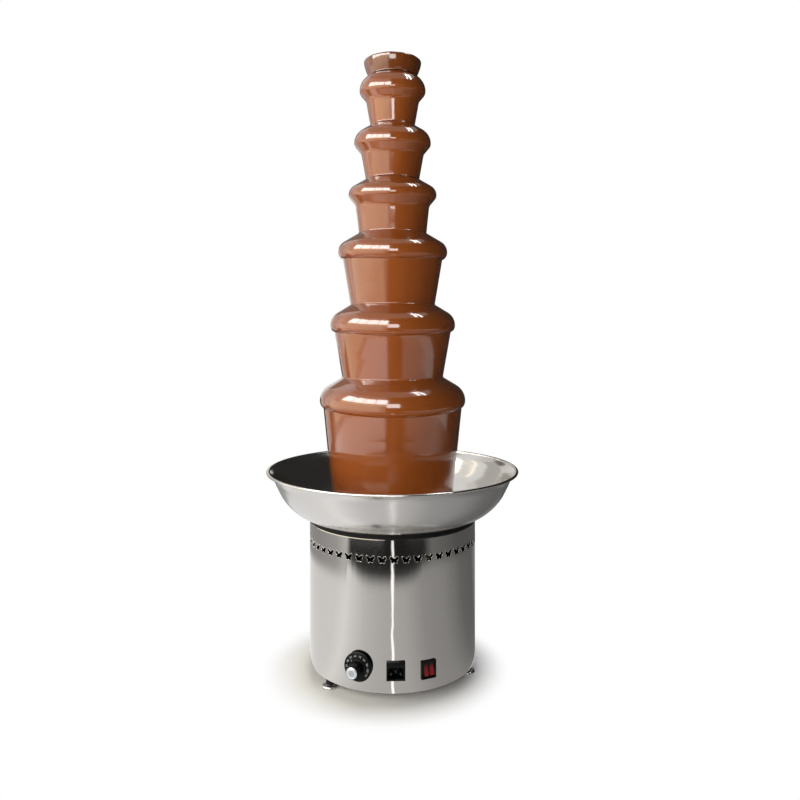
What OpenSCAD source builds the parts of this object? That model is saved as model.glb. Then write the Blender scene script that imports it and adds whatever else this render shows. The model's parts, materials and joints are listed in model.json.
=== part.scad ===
// Chocolate fountain with a crown and six tiers, shown running
// Millimetres, +Z up. The origin is on the floor under the column, and the controls face -Y.

/* [Drum] */
// Outside diameter of the drum
base_d = 264; // [258:1:272]
// Height of the drum, from its bottom edge to its top
base_h = 220; // [214:1:232]
// Sheet thickness of the drum and of its bottom plate
base_wall = 1.5; // [1.2:0.1:1.8]
// Gap between the floor and the drum
foot_h = 17; // [16:0.5:20]
// Outside radius of the drum's top edge
base_edge_r = 1.5; // [1:0.1:2.5]
// Width of the flange that closes the drum's top inwards
flange_w = 32; // [29:0.5:34]
// Width of the lip that carries the bottom plate
lip_w = 20; // [19:0.5:24]
// How far the bottom plate is recessed into the drum
plate_recess = 1.5; // [1.5:0.1:2.5]
// Number of butterfly vents round the drum
vent_count = 48; // [36:1:54]
// Width of one vent
vent_w = 12; // [9:0.5:13]
// Height of one vent
vent_h = 9.5; // [8:0.5:12]
// Depth of the vents' middle below the drum's top
vent_drop = 29; // [20:1:40]
// Turn of the ring of vents from the front
vent_turn = -1; // [-3:0.5:3]

/* [Bottom plate] */
// Number of air holes in the plate
air_count = 12; // [6:1:16]
// Diameter of an air hole
air_d = 12; // [6:1:16]
// Diameter of the circle of air holes
air_circle_d = 130; // [116:1:140]
// Diameter of the screws that hold the plate
plate_screw_d = 4; // [3:0.5:4.5]
// Length of these screws under the head
plate_screw_l = 8; // [6:0.5:10]

/* [Feet] */
// Distance of the feet's middles inside the drum's face
foot_inset = 10.5; // [10:0.5:14]
// Turn of the feet about the column, in degrees
foot_turn = 10; // [0:1:12]
// Angle between the two front feet, in degrees
foot_spread = 126; // [116:1:130]
// Diameter of a foot's pad
foot_pad_d = 24; // [18:0.5:26]
// Thickness of a foot's pad
foot_pad_t = 5; // [4:0.5:6]
// Diameter of the neck above the pad
foot_neck_d = 11; // [10:0.5:14]
// Diameter of the foot's threaded stud
foot_stud_d = 8; // [6:0.5:8]
// Room under the drum for screwing the foot in
foot_room = 4; // [3:0.5:6]

/* [Bowl] */
// Diameter over the rolled rim
bowl_d = 400; // [390:1:412]
// Height of the rim above the bowl's underside
bowl_depth = 77; // [73:0.5:84]
// Slope of the bowl's wall, in degrees
wall_slope = 64.5; // [60:0.5:69]
// Outside radius of the curve from the bottom to the wall
bowl_corner_r = 80; // [72:0.5:88]
// Width of the flare from the wall to the rolled rim
rim_flare_w = 8.5; // [6:0.5:12]
// Height of that flare
rim_flare_h = 9.5; // [7:0.5:13]
// Sheet thickness of the bowl
bowl_sheet = 1.2; // [1:0.1:1.5]
// Diameter of the rolled rim
rim_bead_d = 4; // [3:0.1:5]
// Distance of the seal from the inner edge of the drum's flange
seal_inset = 1.5; // [1:0.1:4]
// How far the seal stands out past the drum's face
seal_over = 0.2; // [0:0.1:1]
// Thickness of the seal under the bowl's flat bottom
seal_t = 2; // [1.5:0.1:3]

/* [Column] */
// Outside diameter of the column tube
tube_d = 56; // [54:0.5:57]
// Wall of the column tube
tube_wall = 1.5; // [1.2:0.1:1.8]
// Number of arches at the tube's foot that let the chocolate in
arch_count = 4; // [3:1:5]
// Width of an arch
arch_w = 22; // [16:0.5:24]
// Height of an arch
arch_h = 24; // [18:0.5:30]
// Wall of the sleeve that each tier has on the tube
hub_wall = 2; // [1.5:0.1:2.5]
// Length of that sleeve
hub_h = 22; // [16:0.5:26]
// Height of the stop ring under each sleeve
stop_ring_t = 3; // [2:0.1:5]
// Sheet thickness of the tiers and the crown
tier_sheet = 1.5; // [1:0.1:2]

/* [Tiers] */
// Diameter over the chocolate at the lip of tier 1, the top one
tier_1_lip_d = 106; // [102:0.5:112]
// Diameter over the chocolate at the lip of tier 2
tier_2_lip_d = 123; // [118:0.5:128]
// Diameter over the chocolate at the lip of tier 3
tier_3_lip_d = 141.5; // [136:0.5:148]
// Diameter over the chocolate at the lip of tier 4
tier_4_lip_d = 175.5; // [168:0.5:182]
// Diameter over the chocolate at the lip of tier 5
tier_5_lip_d = 200.5; // [194:0.5:208]
// Diameter over the chocolate at the lip of tier 6, the lowest one
tier_6_lip_d = 233; // [226:0.5:240]
// Height of the lip of tier 1 above the bowl's floor
tier_1_lip_h = 680; // [678:0.5:686]
// Height of the lip of tier 2 above the bowl's floor
tier_2_lip_h = 596; // [590:0.5:604]
// Height of the lip of tier 3 above the bowl's floor
tier_3_lip_h = 512.5; // [508:0.5:522]
// Height of the lip of tier 4 above the bowl's floor
tier_4_lip_h = 420.5; // [414:0.5:430]
// Height of the lip of tier 5 above the bowl's floor
tier_5_lip_h = 304; // [298:0.5:314]
// Height of the lip of tier 6 above the bowl's floor
tier_6_lip_h = 183.5; // [178:0.5:194]
// Slope of the domes, in degrees
dome_slope = 31; // [28:0.5:35]
// Radius of the round from the dome of tier 1 to its lip
tier_1_round = 25; // [20:0.5:28]
// Radius of the round from the dome of tier 2 to its lip
tier_2_round = 22; // [18:0.5:26]
// Radius of the round from the dome of tier 3 to its lip
tier_3_round = 15; // [13:0.5:20]
// Radius of the round from the dome of tier 4 to its lip
tier_4_round = 19; // [15:0.5:24]
// Radius of the round from the dome of tier 5 to its lip
tier_5_round = 24; // [18:0.5:28]
// Radius of the round from the dome of tier 6 to its lip
tier_6_round = 28; // [20:0.5:32]
// Radius of the round under a lip
under_round = 8.5; // [7:0.1:10]
// Turn of that round before the chocolate falls in, in degrees
under_turn = 40; // [34:1:46]
// Radius of the fillet where the fall becomes a curtain
fillet_round = 14; // [10:0.5:18]

/* [Curtains] */
// Thickness of the running chocolate
film_t = 3; // [2:0.1:3.5]
// Depth of the chocolate standing in the bowl
pool_depth = 6.5; // [5:0.1:9]
// Diameter of the crown's curtain where it lands on tier 1
neck_1_d = 76.5; // [74:0.5:80]
// Diameter of the curtain that lands on tier 2
neck_2_d = 71; // [70:0.5:75]
// Diameter of the curtain that lands on tier 3
neck_3_d = 85.5; // [82:0.5:90]
// Diameter of the curtain that lands on tier 4
neck_4_d = 109; // [105:0.5:113]
// Diameter of the curtain that lands on tier 5
neck_5_d = 135.5; // [131:0.5:140]
// Diameter of the curtain that lands on tier 6
neck_6_d = 161.5; // [157:0.5:166]
// Diameter of the last curtain where it meets the pool
neck_pool_d = 188; // [180:0.5:196]
// How far the curtain of tier 1 starts inside its lip
inset_1 = 11; // [9:0.5:13]
// How far the curtain of tier 2 starts inside its lip
inset_2 = 12; // [9:0.5:13]
// How far the curtain of tier 3 starts inside its lip
inset_3 = 12; // [9:0.5:13]
// How far the curtain of tier 4 starts inside its lip
inset_4 = 9; // [7:0.5:12]
// How far the curtain of tier 5 starts inside its lip
inset_5 = 7.5; // [6:0.5:11]
// How far the curtain of tier 6 starts inside its lip
inset_6 = 6; // [5:0.5:10]

/* [Crown] */
// Diameter over the chocolate at the crown's lip
crown_lip_d = 92; // [90:0.5:95]
// Height of the crown's lip above the bowl's floor
crown_lip_h = 725.5; // [722:0.5:732]
// Radius of the chocolate's round over the crown's lip
crown_round = 3; // [2:0.1:4]
// How far the crown's curtain starts inside its lip
crown_inset = 6.5; // [5.5:0.5:8]

/* [Auger] */
// Diameter of the auger's core
auger_core_d = 20; // [18:0.5:24]
// Gap between the flight and the column tube
auger_gap = 0.7; // [0.5:0.1:1.5]
// Rise of the flight in one turn
auger_pitch = 45; // [38:1:56]
// Thickness of the flight along the column
flight_t = 3; // [2:0.1:4]
// Diameter of the pin that drives the auger
drive_pin_d = 4; // [3:0.5:5]

/* [Drive] */
// Diameter of the drive shaft
drive_shaft_d = 12; // [10:0.5:13]
// Wall of the drive shaft's bushes
bush_wall = 4; // [3:0.5:5]
// Module of the gear teeth
gear_module = 0.8; // [0.8:0.1:1]
// Teeth on each of the two wheels
wheel_teeth = 60; // [56:4:64]
// Teeth on each of the two pinions; an odd number
pinion_teeth = 15; // [15:2:17]
// Play between the teeth
backlash = 0.15; // [0.1:0.01:0.25]
// Face width of a wheel
wheel_t = 8; // [6:0.5:9]
// Diameter of the pin that carries the idler gear
idler_pin_d = 5; // [4:0.2:5]
// Wall of the gearbox
gearbox_wall = 3; // [2.5:0.1:4]
// Sheet thickness of the bridge that carries the gear motor
bridge_t = 3; // [2:0.1:4]
// Width of the bridge
bridge_w = 70; // [60:1:72]
// Depth of the bridge's strap below the drum's top
bridge_drop = 20; // [18:0.5:26]

/* [Motor] */
// Outside diameter of the motor can
motor_d = 84; // [76:1:90]
// Height of the motor can
motor_h = 80; // [70:1:86]
// Diameter of the rotor's shaft
rotor_shaft_d = 6; // [5:0.1:6]
// Diameter of the rotor
rotor_d = 45; // [36:1:48]
// Gap between the rotor and the stator
air_gap = 0.5; // [0.4:0.1:1]
// Height of the rotor and stator stacks
stack_h = 42; // [34:1:48]
// Diameter of the cooling fan
fan_d = 72; // [60:1:80]
// Number of fan blades
fan_blades = 8; // [5:1:11]

/* [Heater] */
// Gap between the heater plate and the drum's flange
heater_gap = 5; // [4:0.5:8]
// Inside diameter of the heater plate
heater_bore_d = 64; // [58:1:80]
// Thickness of the heater plate
heater_t = 8; // [6:0.5:9]
// Diameter of the heating element's tube
element_d = 8; // [6:0.5:9]
// Diameter of the heating element's ring
element_ring_d = 140; // [110:1:160]

/* [Dial] */
// Turn of the dial round the drum from the front, in degrees
dial_yaw = -23.5; // [-30:0.5:-20]
// Height of the dial's middle above the drum's bottom edge
dial_up = 36; // [34:0.5:48]
// Diameter of the dial's skirt
dial_d = 42; // [38:0.5:48]
// Thickness of the skirt
dial_skirt_t = 4.4; // [3:0.1:6]
// Diameter of the grip
grip_d = 21; // [20:0.5:26]
// Reach of the grip beyond the skirt
grip_l = 18; // [14:0.5:24]
// Number of flutes round the grip
grip_flutes = 18; // [10:1:24]
// Diameter of the end cap
dial_cap_d = 16.5; // [14:0.5:17]
// Thickness of the end cap
dial_cap_t = 1.5; // [1:0.1:2.5]
// Diameter of the thermostat's spindle
spindle_d = 6; // [5:0.5:7]

/* [Inlet] */
// Turn of the inlet round the drum from the front, in degrees
inlet_yaw = 0; // [-3:0.5:3]
// Height of the inlet's middle above the drum's bottom edge
inlet_up = 32.5; // [30:0.5:46]
// Width of the inlet's flange
inlet_w = 27; // [26.5:0.5:32]
// Height of the inlet's flange
inlet_h = 27; // [26.5:0.5:36]
// Depth of the inlet's body behind the drum's face
inlet_l = 24; // [22:0.5:30]

/* [Switch] */
// Turn of the switch round the drum from the front, in degrees
switch_yaw = 21; // [19:0.5:28]
// Height of the switch's middle above the drum's bottom edge
switch_up = 30; // [28:0.5:46]
// Width of the switch's bezel
switch_w = 23; // [22:0.5:30]
// Height of the switch's bezel
switch_h = 26; // [25:0.5:36]
// Depth of the switch's body behind the drum's face
switch_l = 22; // [18:0.5:28]
// Tilt of a rocker to each side, in degrees
rocker_tilt = 10; // [6:0.5:11]

/* [Hidden] */
$fn = 96;
// Running clearance on a radius, and the slack between fixed pieces
run_fit = 0.04;
fix_fit = 0.05;
// Extra length of a cut past the face that it opens
over = 1;
// Points along each round of a profile, and along the bowl's curve
round_steps = 8;
bowl_steps = 14;

// Levels, from the floor up
deck_z = foot_h + base_h;
bowl_z = deck_z + seal_t;
floor_z = bowl_z + bowl_sheet;
pool_z = floor_z + pool_depth;
base_r = base_d / 2;
inner_r = base_r - base_wall;
plate_z = foot_h + plate_recess;
lip_z = plate_z + base_wall;
lip_top_z = lip_z + base_wall;
flange_r = base_r - flange_w;
lip_r = base_r - lip_w;

// Feet: two in front and one behind
foot_circle_r = base_r - foot_inset;
foot_angles = [foot_turn - 90 - foot_spread / 2, foot_turn - 90 + foot_spread / 2, foot_turn + 90];
foot_neck_top = foot_h + plate_recess - foot_room;
foot_nut_h = 6.5;
stud_slack = 0.2;
nut_ratio = 1.8;
foot_stud_spare = 8;
foot_stud_top = lip_top_z + foot_nut_h + foot_stud_spare;
pad_turn = 60;

// Screws of the bottom plate stand midway between the feet and the quarter points
plate_screw_out = 2;
plate_screw_r = (lip_r + inner_r) / 2 + plate_screw_out;
plate_screw_angles = [for (i = [0:5]) foot_turn - 120 + 60 * i];
plate_head_d = 2 * plate_screw_d - 1;
plate_head_h = plate_recess;

// Bowl: the rolled rim, the flare's foot, and the wall that runs from there into the corner round
corner_z = bowl_z + bowl_corner_r;
bead_r = rim_bead_d / 2;
bead_at = [bowl_d / 2 - bead_r, bowl_z + bowl_depth - bead_r];
flare_at = bead_at - [rim_flare_w, rim_flare_h];
wall_turn = wall_slope - 90;
wall_foot_z = corner_z + bowl_corner_r * sin(wall_turn);
wall_foot_r = flare_at[0] - (flare_at[1] - wall_foot_z) / tan(wall_slope);
bowl_flat_r = wall_foot_r - bowl_corner_r * cos(wall_turn);
// Seal between the drum's top and the bowl, with a little slack growing under the bowl's curve
seal_r = base_r + seal_over;
seal_in_r = flange_r + seal_inset;
seal_touch_r = max(seal_in_r, bowl_flat_r);
seal_slack = 0.15;
// Heater plate inside the flange
heater_r = flange_r - heater_gap;

// Spigot in the middle of the bowl
tube_r = tube_d / 2;
tube_bore_r = tube_r - tube_wall;
shaft_r = drive_shaft_d / 2;
bush_r = shaft_r + run_fit + bush_wall;
spigot_wall = 5.5;
spigot_neck_r = bush_r + spigot_wall;
spigot_ring_h = 5;
spigot_drop = 14;
nut_wall = 8;
seal_h = 4;

// Tiers, from the top one down
tier_lip_r = [tier_1_lip_d, tier_2_lip_d, tier_3_lip_d, tier_4_lip_d, tier_5_lip_d, tier_6_lip_d] / 2;
tier_lip_z = [for (h = [tier_1_lip_h, tier_2_lip_h, tier_3_lip_h, tier_4_lip_h, tier_5_lip_h, tier_6_lip_h])
    floor_z + h];
tier_round = [tier_1_round, tier_2_round, tier_3_round, tier_4_round, tier_5_round, tier_6_round];
neck_r = [neck_1_d, neck_2_d, neck_3_d, neck_4_d, neck_5_d, neck_6_d, neck_pool_d] / 2;
inset = [inset_1, inset_2, inset_3, inset_4, inset_5, inset_6];
tier_last = len(inset) - 1;
dome_turn = 90 - dome_slope;
film_overlap = 3;
landing_gap = 0.1;
hub_bore_r = tube_r + fix_fit;
hub_r = hub_bore_r + hub_wall;
film_drop = film_t / cos(dome_slope);
sheet_drop = tier_sheet / cos(dome_slope);

// Crown
crown_lip_r = crown_lip_d / 2;
crown_lip_z = floor_z + crown_lip_h;
crown_under = 6;
crown_turn = 34;
crown_fillet = 12;
crown_hub_h = 4;
crown_seat_z = tier_lip_z[0] + dome_rise(0, hub_bore_r) - film_drop;
tube_top_z = crown_seat_z + crown_hub_h + 1;

// Auger
core_r = auger_core_d / 2;
flight_r = tube_bore_r - auger_gap;
flight_gap = 0.1;
auger_z = floor_z + spigot_ring_h + 1.5;
auger_top_z = tube_top_z - 4;
flight_z = auger_z + 2.5;
flight_h = auger_top_z - 6 - flight_z;
flight_turns = flight_h / auger_pitch;
flight_slices = 24;
socket_l = 42;
drive_pin_z = auger_z + 9;

// Gear train: two stages between the motor and the drive shaft, on one pair of centres
wheel_r = gear_module * wheel_teeth / 2;
pinion_r = gear_module * pinion_teeth / 2;
gear_centre = wheel_r + pinion_r;
tooth_up = 0.8 * gear_module;
tooth_down = 1.1 * gear_module;
pressure_angle = 20;
stage_gap = 4;
cover_z = deck_z - bridge_drop - bridge_t - gearbox_wall;
wheel_z = cover_z - 6 - wheel_t;
idler_z = wheel_z - stage_gap - (wheel_t - 1);
gearbox_z = idler_z - 2 - gearbox_wall;
gearbox_r = wheel_r + tooth_up + 2 + gearbox_wall;
idler_pin_r = idler_pin_d / 2;
shaft_foot_z = wheel_z - 1;

// Motor, hung under the gearbox
motor_r = motor_d / 2;
motor_wall = 1.5;
motor_z = gearbox_z - motor_h;
end_cap_t = 4;
end_hub_h = 6;
end_hub_r = 10;
motor_bush_wall = 3;
rotor_shaft_r = rotor_shaft_d / 2;
motor_bush_r = rotor_shaft_r + run_fit + motor_bush_wall;
stack_z = motor_z + (motor_h - stack_h) / 2;
fan_hub_r = 8;
fan_h = 10;
fan_z = motor_z - end_cap_t - 4 - fan_h;
fan_blade_t = 1.5;

// Bridge
bridge_z = deck_z - bridge_drop - bridge_t;
bridge_tab = 18;
bridge_wall_in = 4;
bridge_screw_in = 12;
bridge_screw_side = 13;
bridge_reach = flange_r + bridge_tab;
bridge_wall_x = flange_r + bridge_wall_in;
bridge_tab_z = deck_z - base_wall - bridge_t;
bridge_screw_d = 5;
bridge_screw_x = flange_r + bridge_screw_in;
bridge_screw_y = bridge_w / 2 - bridge_screw_side;

// Controls: depth of a flat of width w that touches the drum's wall from inside
function inside_depth(w) = base_r - sqrt(inner_r * inner_r - w * w / 4);
// Depth of the drum's face at a distance x beside the middle of a control
function saddle_depth(x) = base_r - sqrt(base_r * base_r - x * x);
thermostat_w = 38;
thermostat_l = 28;
thermostat_boss_r = spindle_d / 2 + 2;
thermostat_boss_up = 2;
dial_gap = 0.6;
dial_back = thermostat_boss_up + dial_gap;
grip_z = dial_back + dial_skirt_t;
grip_end = grip_z + grip_l;
flute_r = 1;
spindle_in = 20;
spindle_end = grip_end - 4;

// Inlet
inlet_face = 3;
inlet_body_w = inlet_w - 1;
inlet_body_h = 24;
socket_w = 24;
socket_h = 16.5;
socket_chamfer = 4;
socket_depth = 16;
socket_down = 3;
inlet_pin_gap = 7;
earth_up = 4;
inlet_pin_w = 2;
inlet_pin_h = 4;
inlet_pin_back = 6;
inlet_pin_short = 3;

// Switch
bezel_face = 2.5;
switch_body_w = switch_w - 2;
switch_body_h = switch_h - 2;
pocket_w = switch_w - 4;
pocket_h = switch_h - 4;
pocket_depth = 14;
rocker_gap = 0.35;
rocker_w = pocket_w / 2 - 1.5 * rocker_gap;
rocker_half = pocket_h / 2 - 1.7;
rocker_mid_z = 1.5;
rocker_end_z = 2.7;
rocker_skirt_z = -1.5;
rocker_hub = 4;
axle_r = 1.5;
axle_z = -5;
rocker_low_z = axle_z - 3;

// Terminal block on the bottom plate, behind the column
block_size = [50, 20, 16];
block_y = 72;
block_ways = 5;

STEEL = "#c8c5c0";
SATIN = "#aeaba6";
CHOCOLATE = "#8b4a26";
BLACK = "#17171a";
RED = "#7c1014";
BRONZE = "#b08d57";
CAST = "#8d9094";
IVORY = "#e9e4d0";

// Points on an arc about [cx, cz], from angle a0 to a1
function arc(cx, cz, r, a0, a1, steps = round_steps) =
    [for (i = [0:steps]) let (a = a0 + (a1 - a0) * i / steps) [cx + r * cos(a), cz + r * sin(a)]];

function reversed(p) = [for (i = [len(p) - 1:-1:0]) p[i]];

// Solid of revolution between two lines of points, both listed in the same direction
module turned_band(outer, inner) {
    rotate_extrude() polygon(concat(outer, reversed(inner)));
}

// Ring about the column
module ring(r_in, r_out, z, h) {
    translate([0, 0, z]) difference() {
        cylinder(r = r_out, h = h);
        translate([0, 0, -over]) cylinder(r = r_in, h = h + 2 * over);
    }
}

// Frame on the drum's face: X to the right, Y up, Z outwards, 0 at the drum's surface
module on_face(yaw, up) {
    rotate([0, 0, yaw]) translate([0, -base_r, foot_h + up]) rotate([90, 0, 0]) children();
}

// Box in that frame, centred on X and Y
module face_box(w, h, z0, z1) {
    translate([-w / 2, -h / 2, z0]) cube([w, h, z1 - z0]);
}

// Plate whose back follows the round drum
module saddle_plate(w, h, face) {
    difference() {
        face_box(w, h, -saddle_depth(w / 2), face);
        translate([0, 0, -base_r]) rotate([90, 0, 0])
            cylinder(r = base_r + fix_fit, h = h + 2 * over, center = true);
    }
}

// Dome of tier i: height above the lip of the chocolate's surface, at radius r on the straight slope
function dome_rise(i, r) = let (round = tier_round[i])
    round * sin(dome_turn) + (tier_lip_r[i] - round + round * cos(dome_turn) - r) * tan(dome_slope);

// Line of the dome at depth t under the chocolate's surface, from radius r_in out to the lip
function dome_line(i, r_in, t) = concat(
    [[r_in, tier_lip_z[i] + dome_rise(i, r_in) - t / cos(dome_slope)]],
    arc(tier_lip_r[i] - tier_round[i], tier_lip_z[i], tier_round[i] - t, dome_turn, 0));

// Where the curtain of tier i ends: just over the next dome, or the pool
function landing_z(i, r) = landing_gap + (i == tier_last ? pool_z : tier_lip_z[i + 1] + dome_rise(i + 1, r));

// Line of a fall from a lip, at depth t: round under the lip, slope, fillet and straight curtain
function fall_line(from_r, from_z, in, under, turn, fillet, end_r, end_z, t) = let (
    slope_in = in - under * (1 - cos(turn)),
    lean = atan2(from_r - in - end_r, from_z - end_z - 2 * under),
    slope = max(0, (slope_in - fillet * (cos(lean) - cos(turn))) / sin(turn)),
    round_end = [from_r - under + under * cos(turn), from_z - under * sin(turn)],
    foot = round_end - slope * [sin(turn), cos(turn)],
    centre = foot + fillet * [cos(turn), -sin(turn)])
    concat(
        arc(from_r - under, from_z, under - t, 0, -turn),
        [for (i = [0:round_steps]) let (a = turn + (lean - turn) * i / round_steps)
            centre - (fillet + t) * [cos(a), -sin(a)]],
        [[end_r - t / cos(lean), end_z]]);

function tier_fall(i, t) = fall_line(tier_lip_r[i], tier_lip_z[i], inset[i], under_round, under_turn,
    fillet_round, neck_r[i + 1], landing_z(i, neck_r[i + 1] - t), t);

// Base drum and its bottom

function butterfly_side() = [[0, -0.34], [0.12, -0.5], [0.28, -0.5], [0.36, -0.32], [0.32, -0.12],
    [0.42, -0.02], [0.5, 0.2], [0.5, 0.42], [0.42, 0.5], [0.28, 0.44], [0.13, 0.26], [0, 0.12]];

module butterfly() {
    side = [for (p = butterfly_side()) [p[0] * vent_w, p[1] * vent_h]];
    other = [for (i = [len(side) - 2:-1:1]) [-side[i][0], side[i][1]]];
    polygon(concat(side, other));
}

module vents() {
    for (i = [0:vent_count - 1])
        rotate([0, 0, vent_turn + i * 360 / vent_count]) translate([0, -base_r, deck_z - vent_drop])
            rotate([90, 0, 0]) linear_extrude(height = 6 * base_wall, center = true) butterfly();
}

module base_shell() {
    color(SATIN) difference() {
        rotate_extrude() polygon(concat(
            [[base_r, foot_h]],
            arc(base_r - base_edge_r, deck_z - base_edge_r, base_edge_r, 0, 90, 4),
            [[flange_r, deck_z], [flange_r, deck_z - base_wall], [inner_r, deck_z - base_wall],
                [inner_r, lip_top_z], [lip_r, lip_top_z], [lip_r, lip_z], [inner_r, lip_z],
                [inner_r, foot_h]]));
        vents();
        on_face(dial_yaw, dial_up)
            cylinder(r = thermostat_boss_r + fix_fit, h = 20 * base_wall, center = true);
        on_face(inlet_yaw, inlet_up)
            face_box(inlet_body_w + 2 * fix_fit, inlet_body_h + 2 * fix_fit, -10 * base_wall, over);
        on_face(switch_yaw, switch_up)
            face_box(switch_body_w + 2 * fix_fit, switch_body_h + 2 * fix_fit, -10 * base_wall, over);
        foot_holes(lip_z);
        plate_screw_holes(lip_z);
        bridge_screw_holes();
    }
}

module foot_holes(z) {
    for (a = foot_angles) rotate([0, 0, a]) translate([foot_circle_r, 0, z - over])
        cylinder(d = foot_stud_d + stud_slack, h = base_wall + 2 * over);
}

module plate_screw_holes(z) {
    for (a = plate_screw_angles) rotate([0, 0, a]) translate([plate_screw_r, 0, z - over])
        cylinder(d = plate_screw_d + 2 * fix_fit, h = base_wall + 2 * over);
}

module bottom_plate() {
    color(SATIN) difference() {
        translate([0, 0, plate_z]) cylinder(r = inner_r - 0.3, h = base_wall);
        foot_holes(plate_z);
        plate_screw_holes(plate_z);
        for (i = [0:air_count - 1]) rotate([0, 0, i * 360 / air_count])
            translate([air_circle_d / 2, 0, plate_z - over]) cylinder(d = air_d, h = base_wall + 2 * over);
    }
}

module bottom_plate_screws() {
    color(STEEL) for (a = plate_screw_angles) rotate([0, 0, a]) translate([plate_screw_r, 0, plate_z]) {
        translate([0, 0, -plate_head_h]) cylinder(d = plate_head_d, h = plate_head_h);
        cylinder(d = plate_screw_d, h = plate_screw_l);
    }
}

module levelling_foot(i) {
    color(STEEL) rotate([0, 0, foot_angles[i]]) translate([foot_circle_r, 0, 0]) {
        rotate_extrude() polygon(concat(
            [[0, 0], [foot_pad_d / 2, 0]],
            arc(foot_pad_d / 2 - foot_pad_t, 0, foot_pad_t, 0, pad_turn, 4),
            [[foot_neck_d / 2, foot_pad_t], [foot_neck_d / 2, foot_neck_top], [0, foot_neck_top]]));
        cylinder(d = foot_stud_d, h = foot_stud_top);
    }
}

module foot_1() {
    levelling_foot(0);
}

module foot_2() {
    levelling_foot(1);
}

module foot_3() {
    levelling_foot(2);
}

module foot_nuts() {
    color(STEEL) for (a = foot_angles) rotate([0, 0, a]) translate([foot_circle_r, 0, lip_top_z])
        difference() {
            cylinder(d = nut_ratio * foot_stud_d, h = foot_nut_h, $fn = 6);
            translate([0, 0, -over]) cylinder(d = foot_stud_d + stud_slack, h = foot_nut_h + 2 * over);
        }
}

// Bowl and its bearing

// Height of the seal's top at radius r: the bowl's underside, less the slack there
function seal_top(r) = lookup(r, bowl_line(0))
    - seal_slack * max(0, r - seal_touch_r) / (seal_r - seal_touch_r);

module bowl_seal() {
    bends = [for (p = bowl_line(0)) if (p[0] > seal_in_r && p[0] < seal_r) p[0]];
    color(BLACK) rotate_extrude() polygon(concat(
        [[seal_r, deck_z], [seal_in_r, deck_z]],
        [for (r = concat(seal_in_r, bends, seal_r)) [r, seal_top(r)]]));
}

// Line of the bowl at depth t inside its outer face, from the bearing out to the rolled rim
function bowl_line(t) = let (
    wall_out = [cos(wall_turn), sin(wall_turn)],
    flare_out = [rim_flare_h, -rim_flare_w] / norm([rim_flare_w, rim_flare_h]))
    concat(
        [[spigot_neck_r + fix_fit, bowl_z + t]],
        arc(bowl_flat_r, corner_z, bowl_corner_r - t, -90, wall_turn, bowl_steps),
        [flare_at - t * (wall_out + flare_out) / (1 + wall_out * flare_out), bead_at - t * flare_out]);

module bowl() {
    color(STEEL) {
        turned_band(bowl_line(0), bowl_line(bowl_sheet));
        rotate_extrude() translate(bead_at) circle(r = bead_r);
    }
}

module bowl_spigot() {
    neck_z = bowl_z - spigot_drop;
    color(STEEL) {
        ring(bush_r + fix_fit, spigot_neck_r, neck_z, floor_z + spigot_ring_h - neck_z);
        ring(bush_r + fix_fit, tube_bore_r - 4 * fix_fit, floor_z, spigot_ring_h);
    }
}

module spigot_nut() {
    color(STEEL) ring(spigot_neck_r + fix_fit, spigot_neck_r + nut_wall, bowl_z - heater_t, heater_t);
}

module shaft_bush() {
    foot_z = bowl_z - spigot_drop;
    color(BRONZE) ring(shaft_r + run_fit, bush_r, foot_z, floor_z + spigot_ring_h - seal_h - foot_z);
}

module shaft_seal() {
    color(BLACK) ring(shaft_r + run_fit, bush_r, floor_z + spigot_ring_h - seal_h, seal_h);
}

// Column and tiers

module column_tube() {
    color(STEEL) difference() {
        ring(tube_bore_r, tube_r, floor_z, tube_top_z - floor_z);
        for (i = [0:arch_count - 1]) rotate([0, 0, (i + 0.5) * 360 / arch_count])
            translate([0, 0, floor_z]) arch();
    }
}

// Round-headed opening from the tube's foot
module arch() {
    translate([0, -arch_w / 2, -over]) cube([tube_r + over, arch_w, arch_h - arch_w / 2 + over]);
    translate([0, 0, arch_h - arch_w / 2]) rotate([0, 90, 0]) cylinder(d = arch_w, h = tube_r + over);
}

function hub_top(i) = tier_lip_z[i] + dome_rise(i, hub_bore_r) - film_drop - sheet_drop;

module tier_stop_rings() {
    color(STEEL) for (i = [0:tier_last])
        ring(hub_bore_r, hub_r, hub_top(i) - hub_h - stop_ring_t, stop_ring_t);
}

module tier(i) {
    color(STEEL) {
        turned_band(dome_line(i, hub_bore_r, film_t), dome_line(i, hub_bore_r, film_t + tier_sheet));
        ring(hub_bore_r, hub_r, hub_top(i) - hub_h, hub_h);
    }
}

module tier_1() {
    tier(0);
}

module tier_2() {
    tier(1);
}

module tier_3() {
    tier(2);
}

module tier_4() {
    tier(3);
}

module tier_5() {
    tier(4);
}

module tier_6() {
    tier(5);
}

module crown() {
    rim_r = crown_lip_r - film_t - fix_fit;
    flare_z = crown_seat_z + crown_hub_h;
    color(STEEL) rotate_extrude() polygon([
        [hub_bore_r, crown_seat_z], [hub_r, crown_seat_z], [hub_r, flare_z], [rim_r, crown_lip_z],
        [rim_r - tier_sheet, crown_lip_z], [hub_bore_r, flare_z + tier_sheet]]);
}

// Chocolate

function crown_fall(t) = fall_line(crown_lip_r, crown_lip_z, crown_inset, crown_under, crown_turn,
    crown_fillet, neck_r[0], landing_z(-1, neck_r[0] - t), t);

module chocolate_crown() {
    color(CHOCOLATE) turned_band(
        concat([[0, crown_lip_z + crown_round]],
            arc(crown_lip_r - crown_round, crown_lip_z, crown_round, 90, 0, 4), crown_fall(0)),
        concat([[0, crown_lip_z]], crown_fall(film_t)));
}

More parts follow.
